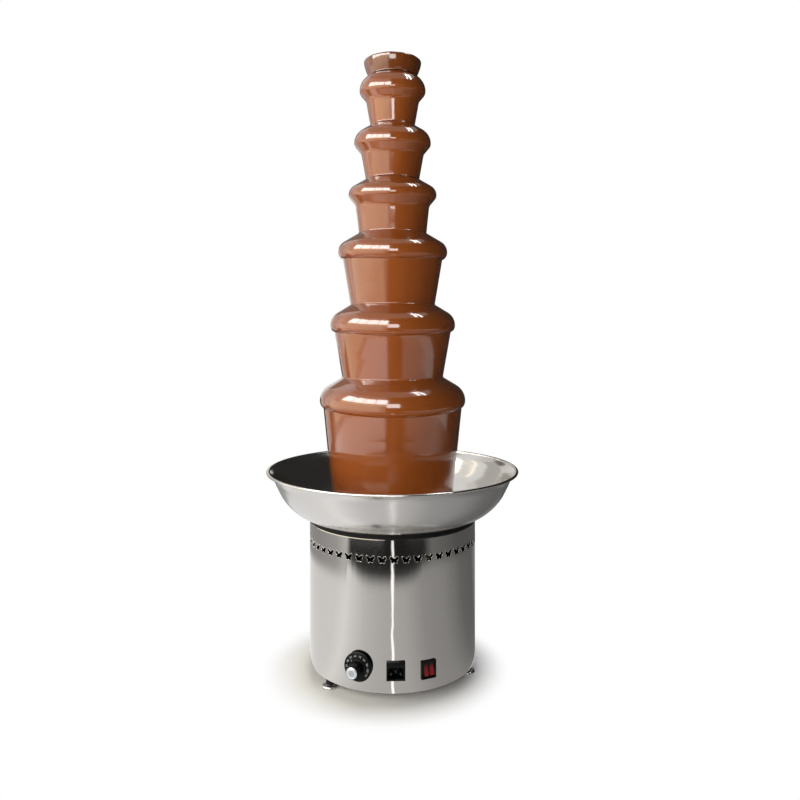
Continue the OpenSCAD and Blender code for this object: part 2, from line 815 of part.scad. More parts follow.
module chocolate_tier(i) {
    film_r = neck_r[i] - film_t - film_overlap;
    color(CHOCOLATE) turned_band(
        concat(dome_line(i, film_r, 0), tier_fall(i, 0)),
        concat(dome_line(i, film_r, film_t), tier_fall(i, film_t)));
}

module chocolate_tier_1() {
    chocolate_tier(0);
}

module chocolate_tier_2() {
    chocolate_tier(1);
}

module chocolate_tier_3() {
    chocolate_tier(2);
}

module chocolate_tier_4() {
    chocolate_tier(3);
}

module chocolate_tier_5() {
    chocolate_tier(4);
}

module chocolate_tier_6() {
    chocolate_tier(5);
}

module chocolate_pool() {
    inside_r = bowl_corner_r - bowl_sheet - 2 * fix_fit;
    shore_angle = asin((pool_z - corner_z) / inside_r);
    color(CHOCOLATE) rotate_extrude() polygon(concat(
        [[hub_bore_r, pool_z], [hub_bore_r, floor_z], [bowl_flat_r, floor_z]],
        arc(bowl_flat_r, corner_z, inside_r, -90, shore_angle)));
}

// Auger

module auger_core() {
    slot_w = drive_pin_d + 2 * fix_fit;
    slot_top = drive_pin_z + drive_pin_d / 2;
    color(STEEL) difference() {
        translate([0, 0, auger_z]) cylinder(r = core_r, h = auger_top_z - auger_z);
        translate([0, 0, auger_z - over]) cylinder(r = shaft_r + fix_fit, h = socket_l + over);
        translate([-core_r - over, -slot_w / 2, auger_z - over])
            cube([2 * (core_r + over), slot_w, slot_top - auger_z + over]);
    }
}

module auger_flight() {
    half = 180 * flight_t / auger_pitch;
    color(STEEL) translate([0, 0, flight_z])
        linear_extrude(height = flight_h, twist = -360 * flight_turns, segments = 0,
            slices = ceil(flight_slices * flight_turns))
            polygon(concat(arc(0, 0, flight_r, -half, half, 2),
                arc(0, 0, core_r + flight_gap, half, -half, 2)));
}

module drive_pin() {
    color(STEEL) translate([0, 0, drive_pin_z]) rotate([0, 90, 0])
        cylinder(d = drive_pin_d, h = 2 * core_r - 1, center = true);
}

// Gear train

module drive_shaft() {
    top_z = auger_z + socket_l - 2;
    color(STEEL) difference() {
        translate([0, 0, shaft_foot_z]) cylinder(r = shaft_r, h = top_z - shaft_foot_z);
        translate([0, 0, drive_pin_z]) rotate([0, 90, 0])
            cylinder(d = drive_pin_d + 2 * fix_fit, h = 4 * shaft_r, center = true);
    }
}

function involute(a) = tan(a) * 180 / PI - a;

// Half angle of a tooth at radius r
function tooth_half(teeth, r) = let (
    pitch = gear_module * teeth / 2,
    base = pitch * cos(pressure_angle),
    slack = backlash / 4 / pitch * 180 / PI)
    90 / teeth - slack + involute(pressure_angle) - involute(acos(min(1, base / r)));

module gear(teeth, h) {
    pitch = gear_module * teeth / 2;
    radii = [pitch - tooth_down, pitch - tooth_down / 2, pitch, pitch + tooth_up];
    flank = [for (r = radii) [r, tooth_half(teeth, r)]];
    linear_extrude(height = h) polygon([for (k = [0:teeth - 1], side = [-1, 1], j = [0:len(flank) - 1])
        let (p = flank[side < 0 ? j : len(flank) - 1 - j], a = 360 * k / teeth + side * p[1])
            p[0] * [cos(a), sin(a)]]);
}

module output_gear() {
    color(BRONZE) translate([0, 0, wheel_z]) difference() {
        gear(wheel_teeth, wheel_t);
        translate([0, 0, -over]) cylinder(r = shaft_r + fix_fit, h = wheel_t + 2 * over);
    }
}

module idler_gear() {
    color(BRONZE) translate([gear_centre, 0, idler_z]) difference() {
        union() {
            gear(wheel_teeth, wheel_t - 1);
            gear(pinion_teeth, wheel_z + wheel_t + 1 - idler_z);
        }
        translate([0, 0, -over]) cylinder(r = idler_pin_r + run_fit, h = cover_z - idler_z);
    }
}

module idler_pin() {
    color(STEEL) translate([gear_centre, 0, gearbox_z])
        cylinder(r = idler_pin_r, h = cover_z + gearbox_wall - gearbox_z);
}

// Outline of the gearbox about its two axes
module gearbox_block(r, z, h) {
    translate([0, 0, z]) {
        cylinder(r = r, h = h);
        translate([gear_centre, 0, 0]) cylinder(r = r, h = h);
        translate([0, -r, 0]) cube([gear_centre, 2 * r, h]);
    }
}

module gearbox_housing() {
    color(CAST) difference() {
        gearbox_block(gearbox_r, gearbox_z, cover_z - gearbox_z);
        gearbox_block(gearbox_r - gearbox_wall, gearbox_z + gearbox_wall, cover_z - gearbox_z);
        translate([0, 0, gearbox_z - over])
            cylinder(r = motor_bush_r + fix_fit, h = gearbox_wall + 2 * over);
        idler_pin_hole();
    }
}

module idler_pin_hole() {
    translate([gear_centre, 0, gearbox_z - over])
        cylinder(r = idler_pin_r + fix_fit, h = cover_z + gearbox_wall - gearbox_z + 2 * over);
}

module gearbox_cover() {
    color(CAST) difference() {
        gearbox_block(gearbox_r, cover_z, gearbox_wall);
        translate([0, 0, cover_z - over]) cylinder(r = bush_r + fix_fit, h = gearbox_wall + 2 * over);
        idler_pin_hole();
    }
}

module gear_bushes() {
    color(BRONZE) {
        ring(shaft_r + run_fit, bush_r, cover_z, gearbox_wall + bridge_t);
        ring(rotor_shaft_r + run_fit, motor_bush_r, gearbox_z - motor_wall, gearbox_wall + motor_wall);
        ring(rotor_shaft_r + run_fit, motor_bush_r, motor_z - end_cap_t, end_cap_t + end_hub_h);
    }
}

// Motor

module rotor_shaft() {
    color(STEEL) {
        translate([0, 0, fan_z]) cylinder(r = rotor_shaft_r, h = idler_z + wheel_t - fan_z);
        translate([0, 0, idler_z - 1]) rotate([0, 0, 180 / pinion_teeth]) gear(pinion_teeth, wheel_t + 1);
    }
}

module rotor_core() {
    color(CAST) ring(rotor_shaft_r + fix_fit, rotor_d / 2, stack_z, stack_h);
}

module cooling_fan() {
    color(BLACK) difference() {
        union() {
            translate([0, 0, fan_z]) cylinder(r = fan_hub_r, h = fan_h);
            for (i = [0:fan_blades - 1]) rotate([0, 0, i * 360 / fan_blades])
                translate([0, -fan_blade_t / 2, fan_z]) cube([fan_d / 2, fan_blade_t, fan_h]);
        }
        translate([0, 0, fan_z - over]) cylinder(r = rotor_shaft_r + fix_fit, h = fan_h + 2 * over);
    }
}

module stator_core() {
    color(CAST) ring(rotor_d / 2 + air_gap, motor_r - motor_wall - fix_fit, stack_z, stack_h);
}

module motor_can() {
    color(STEEL) {
        ring(motor_r - motor_wall, motor_r, motor_z, motor_h);
        ring(motor_bush_r + fix_fit, motor_r, gearbox_z - motor_wall, motor_wall);
    }
}

module motor_end_cap() {
    color(CAST) {
        ring(motor_bush_r + fix_fit, motor_r, motor_z - end_cap_t, end_cap_t);
        ring(motor_bush_r + fix_fit, end_hub_r, motor_z, end_hub_h);
    }
}

// Bridge under the drum's top flange

module at_bridge_screws(z) {
    for (x = [-1, 1], y = [-1, 1]) translate([x * bridge_screw_x, y * bridge_screw_y, z]) children();
}

module bridge_screw_holes() {
    at_bridge_screws(bridge_tab_z - over)
        cylinder(d = bridge_screw_d + 2 * fix_fit, h = base_wall + bridge_t + 2 * over);
}

module motor_bridge() {
    color(SATIN) difference() {
        union() {
            translate([-bridge_wall_x, -bridge_w / 2, bridge_z])
                cube([2 * bridge_wall_x, bridge_w, bridge_t]);
            for (side = [0, 180]) rotate([0, 0, side]) {
                translate([bridge_wall_x - bridge_t, -bridge_w / 2, bridge_z])
                    cube([bridge_t, bridge_w, bridge_tab_z + bridge_t - bridge_z]);
                translate([bridge_wall_x - bridge_t, -bridge_w / 2, bridge_tab_z])
                    cube([bridge_reach - bridge_wall_x + bridge_t, bridge_w, bridge_t]);
            }
        }
        translate([0, 0, bridge_z - over]) cylinder(r = bush_r + fix_fit, h = bridge_t + 2 * over);
        bridge_screw_holes();
    }
}

module bridge_screws() {
    head_h = bridge_screw_d / 2;
    color(STEEL) at_bridge_screws(bridge_tab_z) {
        cylinder(d = bridge_screw_d, h = bridge_t + base_wall);
        translate([0, 0, -head_h]) cylinder(d = nut_ratio * bridge_screw_d, h = head_h, $fn = 6);
    }
}

// Heater

module element_ring(r) {
    translate([0, 0, bowl_z - heater_t]) rotate_extrude() translate([element_ring_d / 2, 0]) circle(r = r);
}

module heater_plate() {
    color(CAST) difference() {
        ring(heater_bore_d / 2, heater_r, bowl_z - heater_t, heater_t);
        element_ring(element_d / 2 + fix_fit);
    }
}

module heating_element() {
    color(SATIN) element_ring(element_d / 2);
}

// Thermostat and dial

module thermostat_body() {
    front = -inside_depth(thermostat_w) - fix_fit;
    color(BLACK) on_face(dial_yaw, dial_up) difference() {
        union() {
            face_box(thermostat_w, thermostat_w, front - thermostat_l, front);
            translate([0, 0, front - over])
                cylinder(r = thermostat_boss_r, h = thermostat_boss_up + over - front);
        }
        translate([0, 0, -spindle_in - over])
            cylinder(r = spindle_d / 2 + run_fit, h = spindle_in + thermostat_boss_up + 2 * over);
    }
}

module thermostat_spindle() {
    color(STEEL) on_face(dial_yaw, dial_up)
        translate([0, 0, -spindle_in]) cylinder(d = spindle_d, h = spindle_in + spindle_end);
}

module dial_knob() {
    color(BLACK) on_face(dial_yaw, dial_up) difference() {
        union() {
            translate([0, 0, dial_back]) cylinder(d = dial_d, h = dial_skirt_t);
            translate([0, 0, grip_z - over]) cylinder(d = grip_d, h = grip_l + over);
        }
        for (i = [0:grip_flutes - 1]) rotate([0, 0, i * 360 / grip_flutes])
            translate([grip_d / 2 + flute_r / 2, 0, grip_z + over]) cylinder(r = flute_r, h = grip_l);
        translate([0, 0, dial_back - over])
            cylinder(r = spindle_d / 2 + fix_fit, h = spindle_end - dial_back + over);
    }
}

module dial_cap() {
    color(STEEL) on_face(dial_yaw, dial_up)
        translate([0, 0, grip_end]) cylinder(d = dial_cap_d, h = dial_cap_t);
}

// Mains inlet

module inlet_socket() {
    back = inlet_face - socket_depth;
    color(BLACK) on_face(inlet_yaw, inlet_up) difference() {
        union() {
            saddle_plate(inlet_w, inlet_h, inlet_face);
            face_box(inlet_body_w, inlet_body_h, -inlet_l, inlet_face);
        }
        translate([0, -socket_down, back]) linear_extrude(height = socket_depth + over) socket_outline();
        inlet_pin_places(inlet_pin_w + 2 * fix_fit, inlet_pin_h + 2 * fix_fit,
            back - inlet_pin_back - over, back + over);
    }
}

// Recess of the inlet: a rectangle with its two upper corners cut off
module socket_outline() {
    x = socket_w / 2;
    y = socket_h / 2;
    polygon([[-x, -y], [x, -y], [x, y - socket_chamfer], [x - socket_chamfer, y], [socket_chamfer - x, y],
        [-x, y - socket_chamfer]]);
}

// Live, neutral and earth pins, with the earth pin in the middle and higher
module inlet_pin_places(w, h, z0, z1) {
    for (i = [-1:1]) let (up = i == 0 ? earth_up / 2 : -earth_up / 2)
        translate([i * inlet_pin_gap, up - socket_down, 0]) face_box(w, h, z0, z1);
}

module inlet_pins() {
    back = inlet_face - socket_depth;
    color(STEEL) on_face(inlet_yaw, inlet_up)
        inlet_pin_places(inlet_pin_w, inlet_pin_h, back - inlet_pin_back, inlet_face - inlet_pin_short);
}

// Twin rocker switch

module switch_housing() {
    color(BLACK) on_face(switch_yaw, switch_up) {
        difference() {
            union() {
                saddle_plate(switch_w, switch_h, bezel_face);
                face_box(switch_body_w, switch_body_h, -switch_l, bezel_face);
            }
            face_box(pocket_w, pocket_h, bezel_face - pocket_depth, bezel_face + over);
        }
        translate([-pocket_w / 2 - over / 2, 0, axle_z]) rotate([0, 90, 0])
            cylinder(r = axle_r, h = pocket_w + over);
    }
}

// One rocker, with its top pressed in; side is -1 for the left one and 1 for the right one
module rocker(side) {
    x0 = side < 0 ? -rocker_gap / 2 - rocker_w : rocker_gap / 2;
    outline = [[-rocker_half, rocker_end_z], [0, rocker_mid_z], [rocker_half, rocker_end_z],
        [rocker_half, rocker_skirt_z], [rocker_hub, rocker_low_z], [-rocker_hub, rocker_low_z],
        [-rocker_half, rocker_skirt_z]];
    color(RED) on_face(switch_yaw, switch_up) translate([x0, 0, axle_z]) rotate([-rocker_tilt, 0, 0])
        difference() {
            rotate([90, 0, 90]) linear_extrude(height = rocker_w)
                polygon([for (p = outline) [p[0], p[1] - axle_z]]);
            translate([-over, 0, 0]) rotate([0, 90, 0])
                cylinder(r = axle_r + run_fit, h = rocker_w + 2 * over);
        }
}

module rocker_left() {
    rocker(-1);
}

module rocker_right() {
    rocker(1);
}

module terminal_block() {
    way = block_size[0] / block_ways;
    color(IVORY) translate([-block_size[0] / 2, block_y - block_size[1] / 2, plate_z + base_wall])
        difference() {
            cube(block_size);
            for (i = [0:block_ways - 1])
                translate([(i + 0.5) * way, block_size[1] / 2, block_size[2] / 2])
                    cylinder(d = way / 2, h = block_size[2]);
        }
}

base_shell();
bottom_plate();
bottom_plate_screws();
foot_1();
foot_2();
foot_3();
foot_nuts();
bowl_seal();
bowl();
bowl_spigot();
spigot_nut();
shaft_bush();
shaft_seal();
column_tube();
tier_stop_rings();
tier_1();
tier_2();
tier_3();
tier_4();
tier_5();
tier_6();
crown();
chocolate_crown();
chocolate_tier_1();
chocolate_tier_2();
chocolate_tier_3();
chocolate_tier_4();
chocolate_tier_5();
chocolate_tier_6();
chocolate_pool();
auger_core();
auger_flight();
drive_pin();
drive_shaft();
output_gear();
idler_gear();
idler_pin();
gear_bushes();
gearbox_housing();
gearbox_cover();
rotor_shaft();
rotor_core();
cooling_fan();
stator_core();
motor_can();
motor_end_cap();
motor_bridge();
bridge_screws();
heater_plate();
heating_element();
thermostat_body();
thermostat_spindle();
dial_knob();
dial_cap();
inlet_socket();
inlet_pins();
switch_housing();
rocker_left();
rocker_right();
terminal_block();
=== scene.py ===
# %% [markdown]
# # A chocolate fountain, from solids to a studio portrait
# The packed solids of a tall chocolate fountain come in as a fixed frame. This lesson gives them
# finishes, adds the detail that belongs to the surface rather than to the solid, and lights the
# whole like a shop photograph. Nothing that is added later may grow past the box round the solids.

import json
import math

import bmesh
import bpy
import numpy as np
from mathutils import Matrix, Vector


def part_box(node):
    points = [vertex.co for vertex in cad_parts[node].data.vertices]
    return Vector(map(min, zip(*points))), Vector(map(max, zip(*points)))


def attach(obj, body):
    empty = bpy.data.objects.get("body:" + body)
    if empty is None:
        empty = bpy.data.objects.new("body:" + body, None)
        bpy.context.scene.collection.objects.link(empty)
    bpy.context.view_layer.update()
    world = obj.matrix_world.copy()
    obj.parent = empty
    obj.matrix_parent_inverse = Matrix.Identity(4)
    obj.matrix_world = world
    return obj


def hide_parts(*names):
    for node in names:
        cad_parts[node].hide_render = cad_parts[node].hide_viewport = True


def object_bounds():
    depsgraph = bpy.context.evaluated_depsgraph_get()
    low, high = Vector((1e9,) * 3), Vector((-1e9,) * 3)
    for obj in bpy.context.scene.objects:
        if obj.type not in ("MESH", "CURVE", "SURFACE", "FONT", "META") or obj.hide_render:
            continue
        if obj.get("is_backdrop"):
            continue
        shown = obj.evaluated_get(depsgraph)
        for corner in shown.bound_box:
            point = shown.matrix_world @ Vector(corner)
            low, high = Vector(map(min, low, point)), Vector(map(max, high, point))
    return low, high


MM = 1000  # millimetres in a metre

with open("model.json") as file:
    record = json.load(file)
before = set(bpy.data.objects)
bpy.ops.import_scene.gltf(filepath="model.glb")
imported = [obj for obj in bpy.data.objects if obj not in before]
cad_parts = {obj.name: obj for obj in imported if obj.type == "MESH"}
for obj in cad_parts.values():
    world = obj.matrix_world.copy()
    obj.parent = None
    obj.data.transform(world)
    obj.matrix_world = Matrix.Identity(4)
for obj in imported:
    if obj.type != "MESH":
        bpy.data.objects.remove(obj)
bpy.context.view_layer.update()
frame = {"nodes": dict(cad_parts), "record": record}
solids = frame["nodes"]

# %% [markdown]
# ## The camera
# The photograph was taken from a little above the middle of the fountain, with the camera level:
# the drum's sides stay upright although the lens looks down on the drum. A tilted camera would
# make them lean together, so the lens is shifted down instead, by just as much as the horizon
# lies above the middle of the picture.

# %% Camera
PICTURE, FOCAL = 800, 722.0  # pixels
HORIZON, COLUMN_X = 331.6, 392.6  # pixels
STAND_OFF, EYE_HEIGHT = 1.163, 0.534  # metres
ROUND_BY = math.radians(-2.0)

lens = bpy.data.cameras.new("portrait_lens")
lens.sensor_width = 36.0
lens.lens = lens.sensor_width * FOCAL / PICTURE
lens.shift_y = (HORIZON - PICTURE / 2) / PICTURE
camera = bpy.data.objects.new("portrait_camera", lens)
camera.location = (STAND_OFF * math.sin(ROUND_BY), -STAND_OFF * math.cos(ROUND_BY), EYE_HEIGHT)
aside = math.atan((PICTURE / 2 - COLUMN_X) / FOCAL)
camera.rotation_euler = (math.pi / 2, 0, ROUND_BY - aside)
bpy.context.scene.collection.objects.link(camera)
bpy.context.scene.camera = camera
bpy.context.scene.view_settings.view_transform = "Standard"
print(f"lens {lens.lens:.1f} mm, shifted by {lens.shift_y:.4f}")


# %% [markdown]
# ## Writing shaders as sums
# A finish is a small calculation over the surface. Wiring it up node by node hides the
# calculation, so a wire is wrapped in a class that takes part in Python sums: 1 - mask adds a Math
# node, and a sum with a colour or a place adds a Vector Math node. Every other kind of node comes
# from the one method called node.

# %% A wire that can be calculated with
class Wire:
    def __init__(self, tree, socket):
        self.tree, self.socket = tree, socket

    def node(self, kind, settings=None, sockets=None, out=0):
        made = self.tree.nodes.new(kind)
        for name, value in (settings or {}).items():
            if name == "stops":
                fill_ramp(made.color_ramp, value)
            else:
                setattr(made, name, value)
        for key, value in (sockets or {}).items():
            if isinstance(value, Wire):
                self.tree.links.new(value.socket, made.inputs[key])
            else:
                made.inputs[key].default_value = value
        return Wire(self.tree, made.outputs[out])

    def sum(self, operation, *values):
        plain = all(not isinstance(v, Wire) or v.socket.type == "VALUE" for v in values)
        kind = "ShaderNodeMath" if plain else "ShaderNodeVectorMath"
        if not plain:
            values = [(v, v, v) if isinstance(v, (int, float)) else v for v in values]
        return self.node(kind, {"operation": operation}, dict(enumerate(values)))

    def __add__(self, other):
        return self.sum("ADD", self, other)

    def __radd__(self, other):
        return self.sum("ADD", other, self)

    def __sub__(self, other):
        return self.sum("SUBTRACT", self, other)

    def __rsub__(self, other):
        return self.sum("SUBTRACT", other, self)

    def __mul__(self, other):
        return self.sum("MULTIPLY", self, other)

    def __rmul__(self, other):
        return self.sum("MULTIPLY", other, self)

    def __truediv__(self, other):
        return self.sum("DIVIDE", self, other)

    def __pow__(self, other):
        return self.sum("POWER", self, other)


def fill_ramp(ramp, stops):
    while len(ramp.elements) < len(stops):
        ramp.elements.new(0.5)
    for element, (at, grey) in zip(ramp.elements, stops):
        element.position = at
        element.color = (grey, grey, grey, 1)


operators = [k.strip("_") for k, v in vars(Wire).items() if k.endswith("__") and callable(v)]
print("a wire knows these:", ", ".join(operators))


# %% [markdown]
# A few calculations come back in many finishes: how far a place lies along a direction or from the
# middle, a soft step from 0 to 1, a mix of two colours, a noise that is stretched one way, and a
# bump. Each is one node, so each becomes a helper of one line.

# %% Calculations that come back
UP, DOWN = (0, 0, 1), (0, 0, -1)
EVEN = (1.0, 1.0, 1.0)


def along(place, direction):
    return place.node("ShaderNodeVectorMath", {"operation": "DOT_PRODUCT"},
                      {0: place, 1: direction}, out=1)


def distance(place):
    return place.node("ShaderNodeVectorMath", {"operation": "LENGTH"}, {0: place}, out=1)


def eased(value, start=0.0, end=1.0):
    return value.node("ShaderNodeMapRange", {"interpolation_type": "SMOOTHSTEP"},
                      {"Value": value, "From Min": start, "From Max": end})


def blend(share, first, second):
    return share.node("ShaderNodeMix", {"data_type": "RGBA"},
                      {0: share, 6: first, 7: second}, out=2)


def grain(place, stretch, scale, detail=3.0):
    return place.node("ShaderNodeTexNoise", None,
                      {"Vector": place * stretch, "Scale": scale, "Detail": detail})


def bumped(height, strength, depth):
    return height.node("ShaderNodeBump", None,
                       {"Height": height, "Strength": strength, "Distance": depth})


print("helpers:", ", ".join(f.__name__ for f in (along, distance, eased, blend, grain, bumped)))

# %% [markdown]
# A finish starts as a principled shader with its constant values set on its own sockets. What
# changes over the surface is calculated from the place on the object and fed in afterwards.
# Colours are written as they look on a screen, so they are turned into light values first.

# %% Starting and feeding a finish
finishes = {}


def tint(code):
    parts = [int(code[i:i + 2], 16) / 255 for i in (1, 3, 5)]
    return tuple(p / 12.92 if p <= 0.04045 else ((p + 0.055) / 1.055) ** 2.4 for p in parts) + (1,)


def socket_name(key):
    return key.replace("_", " ").title().replace("Ior", "IOR")


def start_finish(name, **constants):
    material = bpy.data.materials.new(name)
    material.use_nodes = True
    tree = material.node_tree
    for key, value in constants.items():
        tree.nodes["Principled BSDF"].inputs[socket_name(key)].default_value = value
    finishes[name] = material
    return Wire(tree, tree.nodes.new("ShaderNodeTexCoord").outputs["Object"])


def feed(name, **wires):
    tree = finishes[name].node_tree
    for key, wire in wires.items():
        tree.links.new(wire.socket, tree.nodes["Principled BSDF"].inputs[socket_name(key)])


print(f"the middle grey of a screen is {tint('#808080')[0]:.2f} as light")

# %% [markdown]
# ## Milk chocolate
# Warm running chocolate is a mirror over brown: the colour is even, and what the eye sees is
# reflections. It could be one flat brown with a high gloss, but then every dome would look
# moulded. Slow noise, drawn out along the fall, moves the colour a little between two browns and
# lets the gloss come and go. At the crown the brown is painted darker: this is painted shade.

# %% Chocolate
# painted shade on the crown: the height where it starts, where it is full, and how much brown stays
CROWN_SHADE_START, CROWN_SHADE_FULL = 0.934, 0.946  # heights in metres
CROWN_SHADED_SHARE = 0.6

place = start_finish("milk_chocolate", coat_weight=1.0, coat_roughness=0.03)
flow = grain(place, (1.0, 1.0, 0.22), 34.0)
streak = grain(place, (1.0, 1.0, 0.04), 150.0, 2.0)
cloud = grain(place, (1.0, 1.0, 0.6), 9.0, 2.0)
browns = blend(0.6 * cloud + 0.4 * flow, tint("#8a4416"), tint("#a05726"))
# painted shade: from this height up the crown's brown is painted darker
crown_shade_mask = eased(along(place, UP), CROWN_SHADE_START, CROWN_SHADE_FULL)
feed("milk_chocolate", base_color=blend(crown_shade_mask, browns, browns * CROWN_SHADED_SHARE),
     roughness=0.1 + 0.08 * flow, normal=bumped(0.7 * flow + 0.3 * streak, 0.08, 0.0006))
print("finish: milk_chocolate")

# %% [markdown]
# ## Brushed and polished steel
# The drum is brushed round and round, so its reflections smear up and down and stay sharp
# sideways. A noise squeezed into thin level lines gives the brushing its colour and gloss, and a
# constant anisotropy turns the smear. The bowl is polished on a lathe: nearly a mirror inside, with
# the faintest rings, and a little duller outside, where hands hold it. The outside is where the
# surface faces down.

# %% Steel finishes
FACES_DOWN = 0.05

place = start_finish("brushed_drum", metallic=1.0, anisotropic=0.6, anisotropic_rotation=0.25)
brush = grain(place, (0.02, 0.02, 1.0), 900.0, 4.0)
smudge = grain(place, (1.0, 1.0, 0.5), 11.0, 3.0)
feed("brushed_drum",
     base_color=blend(0.6 * brush + 0.4 * smudge, tint("#c2beb9"), tint("#cfcbc6")),
     roughness=0.05 + 0.03 * brush + 0.02 * smudge,
     normal=bumped(0.2 * brush + 0.8 * smudge, 0.015, 0.0005))

place = start_finish("polished_bowl", metallic=1.0)
spin = grain(place, (0.03, 0.03, 1.0), 420.0, 3.0)
smudge = grain(place, EVEN, 14.0, 4.0)
downward = along(place.node("ShaderNodeTexCoord", out="Normal"), DOWN)
outside = downward.sum("GREATER_THAN", downward, FACES_DOWN)
feed("polished_bowl", base_color=blend(smudge, tint("#c9c6c2"), tint("#d8d5d2")),
     roughness=0.1 + 0.07 * outside + 0.06 * smudge + 0.02 * spin,
     normal=bumped(spin, 0.02, 0.0002))
print("finishes: brushed_drum, polished_bowl")

# %% [markdown]
# ## Other metals
# The pieces inside are turned, cast, stamped or plated. Each gets its own colour, gloss and grain
# from one recipe: a fine noise that is stretched the way the tool went. A table keeps the recipes
# side by side, so that a metal that is too dark or too bright stands out.

# %% Metals of the inner pieces
METALS = (  # finish, dark, light, least roughness, stretch of the grain, scale of the grain
    ("tower_steel", "#c4c2bf", "#d6d4d1", 0.12, (0.05, 0.05, 1.0), 500.0),
    ("fastener_steel", "#a9aaac", "#c4c5c6", 0.22, EVEN, 700.0),
    ("foot_chrome", "#c3c3c4", "#dcdcdc", 0.08, EVEN, 160.0),
    ("bronze", "#9a7440", "#b8935a", 0.24, (0.1, 0.1, 1.0), 600.0),
    ("cast_aluminium", "#85878a", "#9fa1a3", 0.42, EVEN, 420.0),
    ("stack_iron", "#5c5d60", "#77787b", 0.36, (0.02, 0.02, 1.0), 1800.0),
    ("bridge_steel", "#9b9d9f", "#b7b8ba", 0.3, (1.0, 0.1, 1.0), 300.0),
    ("pin_nickel", "#3d3b38", "#4c4a46", 0.3, (1.0, 1.0, 0.1), 600.0),
    ("silver_cap", "#cfd6de", "#e3e8ee", 0.26, EVEN, 900.0),
)
for name, dark, light, rough, stretch, scale in METALS:
    lines = grain(start_finish(name, metallic=1.0), stretch, scale, 4.0)
    feed(name, base_color=blend(lines, tint(dark), tint(light)), roughness=rough + 0.16 * lines,
         normal=bumped(lines, 0.08, 0.0003))
print(f"finishes: {len(METALS)} metals")

# %% [markdown]
# ## Rubber, plastics and paint
# Moulded pieces carry the fine pebble of their mould, which breaks up the gloss. The pebble is a
# small noise used for bump and for roughness at once, so the two agree. A second, broader noise is
# the wear of handling, and moves the colour.

# %% Moulded and painted finishes
MOULDINGS = (  # finish, dark, light, least roughness, scale of the pebble, its bump, sheen
    ("black_rubber", "#070708", "#0e0e0f", 0.55, 900.0, 0.2, 0.2),
    ("black_plastic", "#040507", "#090a0d", 0.3, 1500.0, 0.1, 0.14),
    ("ivory_plastic", "#d8d5cc", "#e6e3da", 0.35, 1200.0, 0.08, 0.5),
    ("motor_paint", "#26282b", "#34363a", 0.4, 700.0, 0.2, 0.5),
    ("number_grey", "#9a9c9f", "#adb0b3", 0.4, 1200.0, 0.05, 0.5),
)
for name, dark, light, rough, scale, bump, sheen in MOULDINGS:
    place = start_finish(name, specular_ior_level=sheen)
    pebble = grain(place, EVEN, scale, 2.0)
    wear = grain(place, EVEN, 60.0, 4.0)
    feed(name, base_color=blend(wear, tint(dark), tint(light)),
         roughness=rough + 0.12 * pebble + 0.06 * wear, normal=bumped(pebble, bump, 0.0002))
print(f"finishes: {len(MOULDINGS)} mouldings and paints")

# %% [markdown]
# The rockers of the switch are clear red plastic over a dark well. Light only comes back from the
# middle of each rocker, so light and shade are painted into its colour: one red lobe that fades to
# nearly black at its rim, painted darker towards the top. The place across the drum's face and the
# height are turned into a lobe by one sum.

# %% Red rockers
SWITCH_YAW, SWITCH_UP = math.radians(21.0), 0.047
LOBE_ASIDE, LOBE_DROP = 0.0044, 0.002  # of each lobe's middle, in metres
LOBE_WIDE, LOBE_TALL = 0.0034, 0.0105

place = start_finish("red_rocker", specular_ior_level=0.3, roughness=0.2)
across = along(place, (math.cos(SWITCH_YAW), math.sin(SWITCH_YAW), 0))
sideways = (across.sum("ABSOLUTE", across) - LOBE_ASIDE) / LOBE_WIDE
upward = (along(place, UP) - (SWITCH_UP - LOBE_DROP)) / LOBE_TALL
# painted light and shade: red and bright in the middle of each rocker, nearly black at its rim
lit_lobe = eased(1.25 - sideways ** 2 - upward ** 2)
# painted shade: the lobe is made darker towards the top of the rocker
feed("red_rocker",
     base_color=blend(lit_lobe * (0.72 - 0.3 * upward), tint("#170304"), tint("#a3141a")))
print("finish: red_rocker")

# %% [markdown]
# The record of the solids says which finish each of them has. The finish could be set piece by
# piece, but following the record means that no solid is forgotten.

# %% Hand the finishes to the solids
slot_of = {row["node"]: row["material_slot"] for row in frame["record"]["subparts"]}
for node, solid in solids.items():
    solid.data.materials.clear()
    solid.data.materials.append(finishes[slot_of[node]])
print(f"{len(slot_of)} solids finished in {len(set(slot_of.values()))} ways")

# %% [markdown]
# ## Reading a turned section
# Tiers, bowl and curtains are turned shapes, so one half section says everything. It could be
# typed in again, but then it could drift from the solid. It is read off the solid's own mesh
# instead: the corners that lie on the half plane to the right of the column, walked from edge to
# edge.

# %% Section of a turned solid
NEARLY = 2e-6  # metres


def section(node):
    mesh = solids[node].data
    spot = {v.index: (round(MM * v.co.x, 3), round(MM * v.co.z, 3)) for v in mesh.vertices
            if abs(v.co.y) < NEARLY and v.co.x > -NEARLY / 2}
    ways = {}
    for edge in mesh.edges:
        a, b = (spot.get(i) for i in edge.vertices)
        if a and b and a != b:
            ways.setdefault(a, set()).add(b)
            ways.setdefault(b, set()).add(a)
    here = max(ways, key=lambda p: (p[1], -p[0]))
    walk = [here, max(ways[here], key=lambda p: p[0])]
    while True:
        onward = [p for p in ways[walk[-1]] if p != walk[-2] and p != walk[0]]
        if not onward or onward[0] in walk:
            return walk
        walk.append(onward[0])


bowl_walk = section("bowl")
print(f"the bowl's section has {len(bowl_walk)} points")


# %% [markdown]
# The solid's rounds are made of short straight steps. A mirror shows every step, so a smooth curve
# is laid through the same points, broken only where the section has a real corner, and is cut into
# even pieces.

